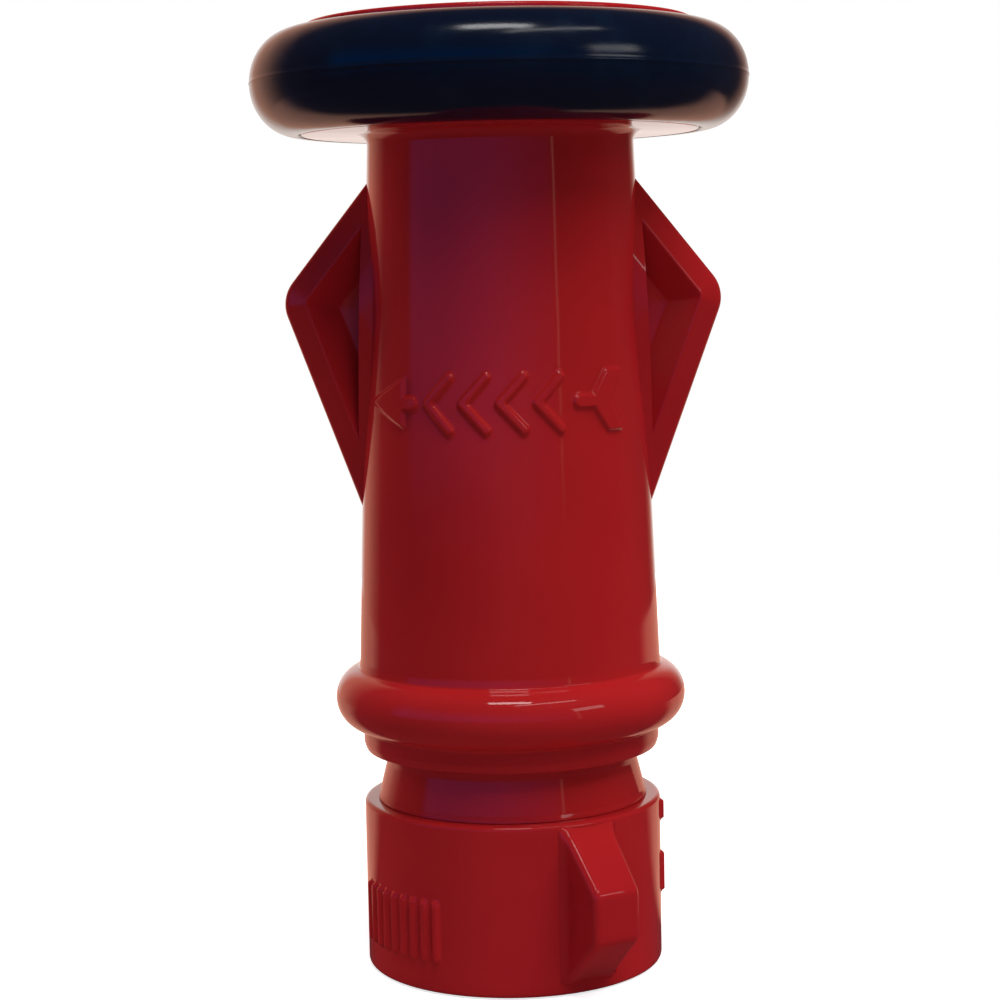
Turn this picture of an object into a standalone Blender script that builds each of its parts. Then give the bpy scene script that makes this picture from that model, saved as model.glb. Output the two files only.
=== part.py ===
"""Adjustable fog nozzle for a 1-1/2 inch fire hose, standing on its inlet.

The nozzle's axis is +Z, the inlet face lies on z = 0 and the wings of the barrel point along X.
The barrel is closed: screwed out to its forward stop, with its throat on the baffle's seal.
"""

import itertools
import math

import bmesh
import bpy
from mathutils import Matrix, Vector

MM = 0.001

for old in list(bpy.data.objects):
    bpy.data.objects.remove(old, do_unlink=True)

# ---------------------------------------------------------------- driving dimensions
GAP = 0.3 * MM                      # between pieces that touch or slide
ROUND_SEGMENTS = 40
SMALL_SEGMENTS = 28

# inlet coupling
COUPLING_RADIUS = 31.1 * MM
COUPLING_LENGTH = 35.0 * MM
COUPLING_WALL = 3.4 * MM            # round the swivel bore
COUPLING_EDGE = 0.8 * MM
INLET_THREAD_RADIUS = 23.9 * MM     # crests of the female hose thread
INLET_THREAD_DEPTH = 17.0 * MM
INLET_CHAMFER = 1.6 * MM
GASKET_THICKNESS = 4.0 * MM
GASKET_HOLE = 19.85 * MM

# rocker lugs
LUG_REACH = 42.4 * MM
LUG_ANGLE = 28.0                    # degrees from -Y towards +X
LUG_TOP_DROP = 0.6 * MM             # below the coupling's top edge
LUG_BOTTOM = 2.0 * MM
LUG_FACE_TOP = 23.0 * MM
LUG_FACE_BOTTOM = 13.0 * MM
LUG_FACE_WIDTH = 10.4 * MM
LUG_ROOT_WIDTH = 13.0 * MM
LUG_SHOULDER = 0.3 * MM             # its slopes start this far inside the coupling's surface

# swivel joint
RING_SECTION = 2.2 * MM             # radial width of the split retaining ring
RING_HEIGHT = 1.8 * MM
RING_SPLIT = 14.0                   # degrees
RING_DROP = 5.5 * MM                # below the coupling's top
O_RING_SECTION = 2.0 * MM

# neck and threaded inner tube
NECK_LAP = 0.6 * MM                 # foot of the neck over the coupling's bore
NECK_TOP_RADIUS = 26.2 * MM
TUBE_WALL = 4.2 * MM
THREAD_DEPTH = 1.5 * MM             # coarse barrel thread, over the sealing land
TUBE_LIP = 2.0 * MM                 # shoulder that stops the spider
TUBE_CHAMFER = 1.0 * MM
TUBE_SEAL_DROP = 8.0 * MM           # its O-ring below its end
CONE_CLEARANCE = 6.0 * MM           # from its end to the barrel's cone at full fog
THREAD_CLEARANCE = 2.0 * MM         # from its thread's end to the barrel's at full fog

# barrel
TRAVEL = 8.0 * MM                   # closed to full fog, one turn
TRAVEL_MARGIN = 2.3 * MM            # left over the coupling at full fog
BARREL_LENGTH = 149.55 * MM
BARREL_BASE_RADIUS = 31.7 * MM
BARREL_TOP_RADIUS = 27.3 * MM
BARREL_WALL = 3.1 * MM
SKIRT_RADIUS = 31.0 * MM
SKIRT_WALL = 2.9 * MM
SKIRT_EDGE = 1.6 * MM
BEAD_RADIUS = 36.6 * MM
BEAD_HALF_HEIGHT = 6.1 * MM
BEAD_RISE = 11.0 * MM               # bead's middle over the skirt's end
THREAD_RISE = 14.4 * MM             # start of the inner thread over the skirt's end
BARREL_THREAD_LENGTH = 24.0 * MM
THREAD_LEAD_IN = 1.0 * MM
SEAL_LEAD = 4.0 * MM                # its O-ring's middle beyond the thread

# head of the barrel
HEAD_HEIGHT = 22.25 * MM
FLANGE_RADIUS = 40.9 * MM
RIM_RADIUS = 39.9 * MM
LIP_THICKNESS = 2.7 * MM
HUB_RADIUS = 37.0 * MM
RIM_WIDTH = 2.9 * MM
HEAD_FILLET = 2.0 * MM
HEAD_EDGE = 0.5 * MM
CUP_DEPTH = 11.0 * MM
CUP_EDGE = 0.8 * MM
CUP_STEP = 3.4 * MM                 # its mouth flares by this in the last third
SLEEVE_RADIUS = 19.5 * MM
SEAT_DEPTH = 30.15 * MM             # seat's face below the rim

# wings
WING_REACH = 45.9 * MM              # where its two edges would cross
WING_TOP_DROP = 8.4 * MM            # below the flange
WING_CORNER_DROP = 33.0 * MM
WING_BOTTOM_DROP = 76.0 * MM
WING_CORNER_RADIUS = 9.0 * MM
WING_EDGE = 3.0 * MM                # half the thickness along its edges
WING_EDGE_CHAMFER = 1.2 * MM
WING_FLARE = 0.68                   # growth of half the thickness per length inwards
WING_RIM = 4.6 * MM
WING_DRAFT = 6.0 * MM               # width of the pocket's sloping walls
WING_WEB = 3.0 * MM                 # wall left between front and back pocket
WING_ROOT = 12.0 * MM               # how deep its root goes into the grip
POCKET_GAP = 0.6 * MM               # from the side of the grip to the pocket
POCKET_OVERCUT = 0.6 * MM           # how far what cuts it stands out of the wing's face

# bumper
BUMPER_RADIUS = 51.0 * MM
BUMPER_BULGE = 9.2 * MM             # half width of its oval section
BUMPER_DROP = 1.25 * MM             # below the rim

# throat, seal, baffle
THROAT_RADIUS = 14.3 * MM
SEAT_RADIUS = 18.0 * MM
SEAT_THICKNESS = 7.0 * MM
THROAT_CONE = 9.6 * MM
THROAT_ENTRY = 1.2 * MM             # chamfer where the water comes in
THROAT_EDGE = 0.4 * MM
SEAL_RADIUS = 16.3 * MM
SEAL_THICKNESS = 3.0 * MM
BAFFLE_RADIUS = 16.6 * MM
BAFFLE_EDGE = 2.2 * MM
BAFFLE_HEIGHT = 8.0 * MM
BAFFLE_CHAMFER = (1.2 * MM, 0.8 * MM)
CROWN_WIDTH = 1.4 * MM              # flat crown of the head, outside the screw's
CROWN_SLOPE = (3.0 * MM, 2.4 * MM)
SPIGOT_RADIUS = 4.6 * MM
STEM_RADIUS = 4.0 * MM
STEM_THREAD_RADIUS = 3.0 * MM
STEM_FLARE_RADIUS = 9.0 * MM
STEM_FLARE_HEIGHT = 8.0 * MM
STEM_FLARE_LIP = 1.0 * MM
COLLAR_RADIUS = 5.4 * MM
COLLAR_HEIGHT = 2.0 * MM
SCREW_RADIUS = 2.4 * MM
SCREW_HEAD_RADIUS = 5.2 * MM
SCREW_HEAD_HEIGHT = 3.2 * MM
SCREW_GRIP = 14.0 * MM              # thread inside the stem
SCREW_KEY = 4.0 * MM                # across the flats of its socket
SCREW_EDGE = 0.6 * MM
WASHER_THICKNESS = 1.1 * MM
WASHER_WIDTH = 3.3 * MM

# spider
SPIDER_HEIGHT = 9.7 * MM
SPIDER_SETBACK = 16.0 * MM          # its front behind the tube's end
SPIDER_RING = 2.3 * MM
SPIDER_HUB_RADIUS = 5.6 * MM
VANE_THICKNESS = 2.4 * MM
VANE_COUNT = 4
NUT_FLATS = 10.0 * MM
NUT_HEIGHT = 4.8 * MM
STEM_TAIL = 2.0 * MM

# fog teeth
TOOTH_RING_RADIUS = 25.5 * MM
TOOTH_RING_LIP = 0.7 * MM           # its hole over the sleeve's bore
TOOTH_RING_BASE = 3.0 * MM
TOOTH_RING_DEPTH = 17.15 * MM       # its shoulder below the rim
TOOTH_HEIGHT = 3.6 * MM
TOOTH_COUNT = 20

# ---------------------------------------------------------------- places worked out from them
tail_z = INLET_THREAD_DEPTH + GASKET_THICKNESS + 2 * GAP
neck_z = COUPLING_LENGTH + GAP
skirt_z = neck_z + TRAVEL + TRAVEL_MARGIN
rim_z = skirt_z + BARREL_LENGTH
flange_z = rim_z - HEAD_HEIGHT
bead_z = skirt_z + BEAD_RISE
seat_z = rim_z - SEAT_DEPTH
cone_z = seat_z - SEAT_THICKNESS - GAP - THROAT_CONE
tube_end_z = cone_z - TRAVEL - CONE_CLEARANCE
spider_z = tube_end_z - SPIDER_SETBACK
seal_z = seat_z + GAP
baffle_z = seal_z + SEAL_THICKNESS + GAP


def barrel_radius(z):
    """Outer radius of the tapered grip, straight from the bead to the flange."""
    share = (z - bead_z) / (flange_z - bead_z)
    return BARREL_BASE_RADIUS + (BARREL_TOP_RADIUS - BARREL_BASE_RADIUS) * share


swivel_bore = COUPLING_RADIUS - COUPLING_WALL
tail_radius = swivel_bore - GAP
skirt_bore = SKIRT_RADIUS - SKIRT_WALL
seal_bore = barrel_radius(cone_z) - BARREL_WALL
tube_radius = seal_bore - GAP
tube_bore = tube_radius - TUBE_WALL
barrel_thread_z = skirt_z + THREAD_RISE
barrel_thread_end = barrel_thread_z + BARREL_THREAD_LENGTH
tube_thread_end = barrel_thread_end - TRAVEL - THREAD_CLEARANCE
barrel_seal_z = barrel_thread_end + THREAD_DEPTH + SEAL_LEAD


# ---------------------------------------------------------------- materials
def material(name, colour, roughness, metallic=0.0, coat=0.0):
    """A Principled material with one colour."""
    made = bpy.data.materials.new(name)
    made.use_nodes = True
    shader = made.node_tree.nodes["Principled BSDF"]
    shader.inputs["Base Color"].default_value = (*colour, 1.0)
    shader.inputs["Roughness"].default_value = roughness
    shader.inputs["Metallic"].default_value = metallic
    shader.inputs["Coat Weight"].default_value = coat
    made.diffuse_color = (*colour, 1.0)
    return made


RED_PLASTIC = ((0.34, 0.016, 0.018), 0.18, 0.0, 0.6)
BLACK_RUBBER = ((0.008, 0.010, 0.014), 0.42)
SEAL_RUBBER = ((0.015, 0.015, 0.016), 0.6)
BRASS = ((0.62, 0.42, 0.16), 0.3, 1.0)
STEEL = ((0.55, 0.56, 0.58), 0.28, 1.0)
BLACK_PLASTIC = ((0.02, 0.02, 0.022), 0.35)


# ---------------------------------------------------------------- making solids
def add_solid(name, bm, finish):
    """Turn a bmesh into a named object with its own material and smooth round faces."""
    bmesh.ops.recalc_face_normals(bm, faces=bm.faces)
    mesh = bpy.data.meshes.new(name)
    bm.to_mesh(mesh)
    bm.free()
    mesh.shade_smooth()
    mesh.set_sharp_from_angle(angle=math.radians(32))
    mesh.materials.append(material(name + "_finish", *finish))
    piece = bpy.data.objects.new(name, mesh)
    bpy.context.scene.collection.objects.link(piece)
    return piece


def add_guide(name, bm):
    """A solid that only cuts or joins, left out of the model itself."""
    guide = add_solid(name, bm, BLACK_PLASTIC)
    guide.hide_render = True
    guide.display_type = "WIRE"
    return guide


def combine(piece, guide, operation):
    """Cut a guide out of a piece, or join it on, with a Boolean modifier."""
    step = piece.modifiers.new(guide.name, "BOOLEAN")
    step.operation = operation
    step.solver = "EXACT"
    step.object = guide


def spun(profile, segments=ROUND_SEGMENTS, closed=True, angle=360.0):
    """Spin a profile of (radius, height) points round Z.

    A closed profile gives a ring. An open one runs from axis to axis and gives a solid.
    """
    bm = bmesh.new()
    verts = [bm.verts.new((radius, 0.0, height)) for radius, height in profile]
    edges = [bm.edges.new(pair) for pair in zip(verts, verts[1:])]
    if closed:
        edges.append(bm.edges.new((verts[-1], verts[0])))
    whole = angle == 360.0
    geometry = verts + edges
    if not whole:
        geometry.append(bm.faces.new(verts))
    bmesh.ops.spin(
        bm,
        geom=geometry,
        axis=(0, 0, 1),
        cent=(0, 0, 0),
        angle=math.radians(angle),
        steps=segments,
        use_merge=whole,
    )
    bmesh.ops.remove_doubles(bm, verts=bm.verts, dist=0.001 * MM)
    return bm


def arc(centre, radii, start, end, steps):
    """Points on part of an ellipse, angles in degrees from +radius towards +height."""
    points = []
    for i in range(steps + 1):
        angle = math.radians(start + (end - start) * i / steps)
        points.append((centre[0] + radii[0] * math.cos(angle), centre[1] + radii[1] * math.sin(angle)))
    return points


def ring(name, inner, outer, low, high, finish, segments=SMALL_SEGMENTS, angle=360.0):
    """A plain ring or split ring of rectangular section."""
    profile = [(inner, low), (outer, low), (outer, high), (inner, high)]
    return add_solid(name, spun(profile, segments, angle=angle), finish)


def rod(radius, low, high, segments=SMALL_SEGMENTS):
    """A plain round bar, or a prism when it has few segments."""
    return spun([(0, low), (radius, low), (radius, high), (0, high)], segments, closed=False)


def o_ring(name, radius, height):
    """A ring of round section about the given middle radius and height."""
    half = O_RING_SECTION / 2
    section = arc((radius, height), (half, half), 0, 300, 5)
    return add_solid(name, spun(section, ROUND_SEGMENTS), SEAL_RUBBER)


def hull(points):
    """The convex solid round a set of points."""
    bm = bmesh.new()
    for point in points:
        bm.verts.new(point)
    made = bmesh.ops.convex_hull(bm, input=bm.verts)
    spare = [item for item in made["geom_interior"] if isinstance(item, bmesh.types.BMVert)]
    bmesh.ops.delete(bm, geom=spare, context="VERTS")
    return bm


def repeated(bm, angles):
    """One bmesh with a copy of a solid at each angle (degrees) round Z."""
    source = bpy.data.meshes.new("repeated")
    bm.to_mesh(source)
    bm.free()
    out = bmesh.new()
    for angle in angles:
        first = len(out.verts)
        out.from_mesh(source)
        out.verts.ensure_lookup_table()
        bmesh.ops.rotate(
            out, verts=out.verts[first:], cent=(0, 0, 0), matrix=Matrix.Rotation(math.radians(angle), 3, "Z")
        )
    bpy.data.meshes.remove(source)
    return out


# ---------------------------------------------------------------- inlet coupling
ring_top = COUPLING_LENGTH - RING_DROP
ring_low = ring_top - RING_HEIGHT
ring_inner = swivel_bore - GAP / 2 - RING_SECTION / 2
ring_outer = ring_inner + RING_SECTION


def rocker_lugs():
    """Two ears for the spanner, opposite each other, wider at the root than on the face."""
    root = COUPLING_RADIUS - COUPLING_WALL / 2
    shoulder = COUPLING_RADIUS - LUG_SHOULDER
    top = COUPLING_LENGTH - LUG_TOP_DROP
    outline = [
        (root, LUG_BOTTOM, LUG_ROOT_WIDTH),
        (root, top, LUG_ROOT_WIDTH),
        (shoulder, top, LUG_ROOT_WIDTH),
        (LUG_REACH, LUG_FACE_TOP, LUG_FACE_WIDTH),
        (LUG_REACH, LUG_FACE_BOTTOM, LUG_FACE_WIDTH),
        (shoulder, LUG_BOTTOM, LUG_ROOT_WIDTH),
    ]
    points = [(x, side * width / 2, z) for x, z, width in outline for side in (-1, 1)]
    turn = LUG_ANGLE - 90.0
    return repeated(hull(points), (turn, turn + 180.0))


def make_coupling():
    """Female hose thread below, swivel bore above, lugs outside."""
    edge = COUPLING_EDGE
    profile = [
        (INLET_THREAD_RADIUS + INLET_CHAMFER, 0.0),
        (COUPLING_RADIUS - edge, 0.0),
        (COUPLING_RADIUS, edge),
        *arc((COUPLING_RADIUS - edge, COUPLING_LENGTH - edge), (edge, edge), 0, 90, 2),
        (swivel_bore, COUPLING_LENGTH),
        (swivel_bore, ring_top + GAP),
        (ring_outer + GAP, ring_top + GAP),
        (ring_outer + GAP, ring_low - GAP),
        (swivel_bore, ring_low - GAP),
        (swivel_bore, INLET_THREAD_DEPTH),
        (INLET_THREAD_RADIUS, INLET_THREAD_DEPTH),
        (INLET_THREAD_RADIUS, INLET_CHAMFER),
    ]
    coupling = add_solid("swivel_coupling", spun(profile), RED_PLASTIC)
    combine(coupling, add_guide("lug_guide", rocker_lugs()), "UNION")
    ring(
        "inlet_gasket",
        GASKET_HOLE,
        swivel_bore - GAP,
        INLET_THREAD_DEPTH + GAP,
        INLET_THREAD_DEPTH + GAP + GASKET_THICKNESS,
        SEAL_RUBBER,
        ROUND_SEGMENTS,
    )
    ring(
        "swivel_retaining_ring",
        ring_inner,
        ring_outer,
        ring_low,
        ring_top,
        STEEL,
        ROUND_SEGMENTS,
        angle=360.0 - RING_SPLIT,
    )


# ---------------------------------------------------------------- neck, inner tube and its seals
swivel_seal_z = (tail_z + ring_low) / 2
tube_seal_z = tube_end_z - TUBE_SEAL_DROP
spider_ring_top = spider_z - SPIDER_HEIGHT - GAP
spider_ring_low = spider_ring_top - RING_HEIGHT


def groove(radius, middle, depth, width, outward=True):
    """Four points of a square groove cut into a cylinder, from low to high."""
    floor = radius - depth if outward else radius + depth
    low, high = middle - width / 2, middle + width / 2
    return [(radius, low), (floor, low), (floor, high), (radius, high)]


def make_body():
    """Swivel tail, neck, threaded tube and the bore with its seat for the spider."""
    thread_radius = tube_radius + THREAD_DEPTH
    gland = O_RING_SECTION + 2 * GAP
    retainer = RING_HEIGHT + 2 * GAP
    spider_ring_z = spider_ring_low + RING_HEIGHT / 2
    profile = [
        (tube_bore, tail_z),
        (tail_radius, tail_z),
        *groove(tail_radius, swivel_seal_z, O_RING_SECTION + GAP, gland),
        *groove(tail_radius, (ring_low + ring_top) / 2, tail_radius - ring_inner + GAP, retainer),
        (tail_radius, neck_z),
        (swivel_bore + NECK_LAP, neck_z),
        (swivel_bore + NECK_LAP / 2, neck_z + NECK_LAP),
        (NECK_TOP_RADIUS, neck_z + TRAVEL),
        (thread_radius, skirt_z + TRAVEL_MARGIN),
        (thread_radius, tube_thread_end),
        (tube_radius, tube_thread_end + THREAD_DEPTH),
        *groove(tube_radius, tube_seal_z, O_RING_SECTION + GAP, gland),
        (tube_radius, tube_end_z - TUBE_CHAMFER),
        (tube_radius - TUBE_CHAMFER, tube_end_z),
        (tube_bore - TUBE_LIP, tube_end_z),
        (tube_bore - TUBE_LIP, spider_z + GAP),
        (tube_bore, spider_z + GAP),
        *reversed(groove(tube_bore, spider_ring_z, RING_SECTION / 2 + GAP, retainer, False)),
    ]
    add_solid("nozzle_body", spun(profile), RED_PLASTIC)
    o_ring("swivel_o_ring", tail_radius - O_RING_SECTION / 2, swivel_seal_z)
    o_ring("body_o_ring", tube_radius - O_RING_SECTION / 2, tube_seal_z)
    ring(
        "spider_retaining_ring",
        tube_bore - RING_SECTION / 2,
        tube_bore + RING_SECTION / 2,
        spider_ring_low,
        spider_ring_top,
        STEEL,
        ROUND_SEGMENTS,
        angle=360.0 - 2 * RING_SPLIT,
    )


# ---------------------------------------------------------------- spider, stem and baffle
def make_spider():
    """A ring and a hub joined by radial vanes, with a hole for the stem."""
    low = spider_z - SPIDER_HEIGHT
    outer = tube_bore - GAP
    profile = [(outer - SPIDER_RING, low), (outer, low), (outer, spider_z), (outer - SPIDER_RING, spider_z)]
    spider = add_solid("spider", spun(profile, SMALL_SEGMENTS), BRASS)
    half = VANE_THICKNESS / 2
    spans = (SPIDER_HUB_RADIUS / 2, outer - SPIDER_RING / 2), (-half, half), (low + half, spider_z - half)
    corners = itertools.product(*spans)
    vanes = repeated(hull(corners), [360.0 * i / VANE_COUNT for i in range(VANE_COUNT)])
    hub = rod(SPIDER_HUB_RADIUS, low, spider_z)
    hole = STEM_THREAD_RADIUS + GAP
    bore = rod(hole, low - hole, spider_z + hole)
    combine(spider, add_guide("vane_guide", vanes), "UNION")
    combine(spider, add_guide("hub_guide", hub), "UNION")
    combine(spider, add_guide("hub_bore_guide", bore), "DIFFERENCE")


def make_stem():
    """Rod with a collar on the spider and a flare under the seal, its nut and its washer."""
    low = spider_z - SPIDER_HEIGHT
    washer_low = low - GAP - WASHER_THICKNESS
    nut_low = washer_low - GAP - NUT_HEIGHT
    end = nut_low - STEM_TAIL
    collar = spider_z + GAP
    spigot_top = baffle_z + BAFFLE_HEIGHT
    hole = SCREW_RADIUS + GAP
    hole_floor = spigot_top - SCREW_GRIP - GAP
    profile = [
        (0, end),
        (STEM_THREAD_RADIUS, end),
        (STEM_THREAD_RADIUS, collar),
        (COLLAR_RADIUS, collar),
        (COLLAR_RADIUS, collar + COLLAR_HEIGHT),
        (STEM_RADIUS, collar + COLLAR_HEIGHT),
        (STEM_RADIUS, seal_z - GAP - STEM_FLARE_HEIGHT),
        (STEM_FLARE_RADIUS, seal_z - GAP - STEM_FLARE_LIP),
        (STEM_FLARE_RADIUS, seal_z - GAP),
        (SPIGOT_RADIUS, seal_z - GAP),
        (SPIGOT_RADIUS, spigot_top),
        (hole, spigot_top),
        (hole, hole_floor),
        (0, hole_floor),
    ]
    add_solid("baffle_stem", spun(profile, SMALL_SEGMENTS, closed=False), BRASS)
    hole = STEM_THREAD_RADIUS + GAP
    washer_top = washer_low + WASHER_THICKNESS
    ring("stem_washer", hole, hole + WASHER_WIDTH, washer_low, washer_top, STEEL, SMALL_SEGMENTS)
    corner, nut_top = NUT_FLATS / math.sqrt(3), nut_low + NUT_HEIGHT
    nut = add_solid("stem_nut", rod(corner, nut_low, nut_top, 6), STEEL)
    bore = rod(hole, nut_low - hole, nut_top + hole)
    combine(nut, add_guide("nut_bore_guide", bore), "DIFFERENCE")


def make_baffle():
    """Seal, deflecting head, lock washer and socket screw on the stem's front end."""
    hole = SPIGOT_RADIUS + GAP
    top = baffle_z + BAFFLE_HEIGHT + GAP
    ring("baffle_seal", hole, SEAL_RADIUS, seal_z, seal_z + SEAL_THICKNESS, SEAL_RUBBER)
    crown = SCREW_HEAD_RADIUS + CROWN_WIDTH
    profile = [
        (hole, baffle_z),
        (BAFFLE_RADIUS - BAFFLE_CHAMFER[0], baffle_z),
        (BAFFLE_RADIUS, baffle_z + BAFFLE_CHAMFER[1]),
        (BAFFLE_RADIUS, baffle_z + BAFFLE_EDGE),
        (crown + CROWN_SLOPE[0], top - CROWN_SLOPE[1]),
        (crown, top),
        (hole, top),
    ]
    add_solid("baffle_head", spun(profile, SMALL_SEGMENTS), BRASS)
    washer = top + GAP
    washer_hole = SCREW_RADIUS + GAP
    ring("screw_washer", washer_hole, washer_hole + WASHER_WIDTH, washer, washer + WASHER_THICKNESS, STEEL)
    head = washer + WASHER_THICKNESS + GAP
    head_top = head + SCREW_HEAD_HEIGHT
    screw_profile = [
        (0, baffle_z + BAFFLE_HEIGHT - SCREW_GRIP),
        (SCREW_RADIUS, baffle_z + BAFFLE_HEIGHT - SCREW_GRIP),
        (SCREW_RADIUS, head),
        (SCREW_HEAD_RADIUS, head),
        (SCREW_HEAD_RADIUS, head_top - SCREW_EDGE),
        (SCREW_HEAD_RADIUS - SCREW_EDGE, head_top),
        (0, head_top),
    ]
    screw = add_solid("baffle_screw", spun(screw_profile, SMALL_SEGMENTS, closed=False), STEEL)
    key = SCREW_KEY / math.sqrt(3)
    floor = head + SCREW_HEAD_HEIGHT / 3         # two thirds deep
    combine(screw, add_guide("socket_guide", rod(key, floor, head_top + key, 6)), "DIFFERENCE")


# ---------------------------------------------------------------- barrel
corner_z = flange_z - WING_CORNER_DROP
wing_tip = Vector((WING_REACH, corner_z))


def edge_direction(drop):
    """Unit vector along a wing edge, from the corner to where it meets the grip."""
    z = flange_z - drop
    return (Vector((barrel_radius(z), z)) - wing_tip).normalized()


wing_up = edge_direction(WING_TOP_DROP)
wing_down = edge_direction(WING_BOTTOM_DROP)
wing_inward = (wing_up + wing_down).normalized()
wing_half_angle = wing_up.angle(wing_down) / 2


def wing_height(inset):
    """Half the wing's thickness at a distance from its edges."""
    return WING_EDGE + WING_FLARE * inset


def wing_outline(inset, radius, reach, steps=4):
    """Outline of the wing set in from its edges, in the XZ plane.

    It comes down the upper edge, goes round the corner and back along the lower edge.
    The two end points are where the edges pass the distance `reach` outside the grip.
    """
    tip = wing_tip + wing_inward * inset / math.sin(wing_half_angle)
    centre = tip + wing_inward * radius / math.sin(wing_half_angle)
    start = math.degrees(math.atan2(-wing_up.x, wing_up.y))
    end = math.degrees(math.atan2(wing_down.x, -wing_down.y))
    slope = (BARREL_TOP_RADIUS - BARREL_BASE_RADIUS) / (flange_z - bead_z)
    ends = []
    for edge in (wing_up, wing_down):
        along = (barrel_radius(tip.y) + reach - tip.x) / (edge.x - slope * edge.y)
        ends.append(tuple(tip + edge * along))
    return [ends[0], *arc(centre, (radius, radius), start, end, steps), ends[1]]


def ridge_point(reach, rise):
    """Where the ridge between the wing's upper and lower flank passes a distance outside the grip."""
    slope = (BARREL_TOP_RADIUS - BARREL_BASE_RADIUS) / (flange_z - bead_z)
    along = (barrel_radius(wing_tip.y) + reach - wing_tip.x) / (wing_inward.x - slope * wing_inward.y)
    spot = wing_tip + wing_inward * along
    return spot.x, wing_height(along * math.sin(wing_half_angle)) + rise, spot.y


def wing_solid():
    """A wing, thin along its edges and thick at its root, with its root inside the grip."""
    root = -WING_ROOT
    points = []
    for inset, half in ((0.0, WING_EDGE - WING_EDGE_CHAMFER), (WING_EDGE_CHAMFER, WING_EDGE)):
        for x, z in wing_outline(inset, WING_CORNER_RADIUS - inset, root):
            points += [(x, -half, z), (x, half, z)]
    x, y, z = ridge_point(root, 0.0)
    points += [(x, -y, z), (x, y, z)]
    return hull(points)


def pocket_solid(side):
    """What is taken out of one face of a wing: sloping walls down to a flat web."""
    rise = POCKET_OVERCUT
    depth = wing_height(WING_RIM) - WING_WEB / 2
    spread = rise * WING_DRAFT / depth
    corner = WING_CORNER_RADIUS - WING_RIM
    points = []
    for x, z in wing_outline(WING_RIM + WING_DRAFT, corner / 4, POCKET_GAP):
        points.append((x, side * WING_WEB / 2, z))
    for x, z in wing_outline(WING_RIM - spread, corner, POCKET_GAP):
        points.append((x, side * (wing_height(WING_RIM) + rise), z))
    x, y, z = ridge_point(POCKET_GAP, rise)
    points.append((x, side * y, z))
    return hull(points)


def outer_profile():
    """Outside of the barrel from the skirt's end up: skirt, bead, tapered grip and head."""
    underside = flange_z - HEAD_FILLET
    neck = barrel_radius(underside)
    lip_top, lip_low = rim_z - LIP_THICKNESS, flange_z + LIP_THICKNESS
    bead = (BEAD_RADIUS - SKIRT_RADIUS, BEAD_HALF_HEIGHT)
    return [
        (SKIRT_RADIUS - SKIRT_EDGE, skirt_z),
        *arc((SKIRT_RADIUS - SKIRT_EDGE, skirt_z + SKIRT_EDGE), (SKIRT_EDGE, SKIRT_EDGE), -60, 0, 2),
        *arc((SKIRT_RADIUS, bead_z), bead, -90, 75, 7),
        (barrel_radius(bead_z + BEAD_HALF_HEIGHT), bead_z + BEAD_HALF_HEIGHT),
        *arc((neck + HEAD_FILLET, underside), (HEAD_FILLET, HEAD_FILLET), 180, 90, 3),
        (FLANGE_RADIUS - HEAD_EDGE, flange_z),
        (FLANGE_RADIUS, flange_z + HEAD_EDGE),
        (FLANGE_RADIUS, lip_low),
        (HUB_RADIUS, lip_low),
        (HUB_RADIUS, lip_top),
        (RIM_RADIUS, lip_top),
        (RIM_RADIUS, rim_z - HEAD_EDGE),
        (RIM_RADIUS - HEAD_EDGE, rim_z),
    ]


def inner_profile():
    """Inside of the barrel from the skirt's end up: skirt, thread, seal bore, throat, sleeve and cup."""
    gland = O_RING_SECTION + 2 * GAP
    tooth_z = rim_z - TOOTH_RING_DEPTH
    seat_low = seat_z - SEAT_THICKNESS - GAP
    cup_rim = RIM_RADIUS - RIM_WIDTH
    return [
        (skirt_bore, skirt_z),
        (skirt_bore, barrel_thread_z),
        (seal_bore + THREAD_DEPTH, barrel_thread_z + THREAD_LEAD_IN),
        (seal_bore + THREAD_DEPTH, barrel_thread_end),
        (seal_bore, barrel_thread_end + THREAD_DEPTH),
        *groove(seal_bore, barrel_seal_z, O_RING_SECTION + GAP, gland, False),
        (seal_bore, cone_z),
        (THROAT_RADIUS + THROAT_ENTRY, seat_low),
        (SEAT_RADIUS + GAP, seat_low),
        (SEAT_RADIUS + GAP, seat_z),
        (SLEEVE_RADIUS, seat_z),
        (SLEEVE_RADIUS, tooth_z),
        (TOOTH_RING_RADIUS + GAP, tooth_z),
        (TOOTH_RING_RADIUS + GAP, rim_z - CUP_DEPTH),
        (cup_rim - CUP_STEP, rim_z - CUP_DEPTH / 3),
        (cup_rim, rim_z - CUP_EDGE),
        (cup_rim, rim_z),
    ]


def make_barrel():
    """The sleeve that is turned: grip with two hollow wings, head, throat and cup."""
    profile = outer_profile() + inner_profile()[::-1]
    barrel = add_solid("barrel", spun(profile), RED_PLASTIC)
    wings = add_guide("wing_guide", repeated(wing_solid(), (0.0, 180.0)))
    inside = BARREL_WALL / 2
    core = [(0, skirt_z), (barrel_radius(skirt_z) - inside, skirt_z), (barrel_radius(rim_z) - inside, rim_z),
            (0, rim_z)]
    combine(wings, add_guide("core_guide", spun(core, closed=False)), "DIFFERENCE")
    combine(barrel, wings, "UNION")
    for side, face in ((-1, "front"), (1, "back")):
        pockets = repeated(pocket_solid(side), (0.0, 180.0))
        combine(barrel, add_guide(face + "_pocket_guide", pockets), "DIFFERENCE")
    o_ring("barrel_o_ring", seal_bore + O_RING_SECTION / 2, barrel_seal_z)


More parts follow.
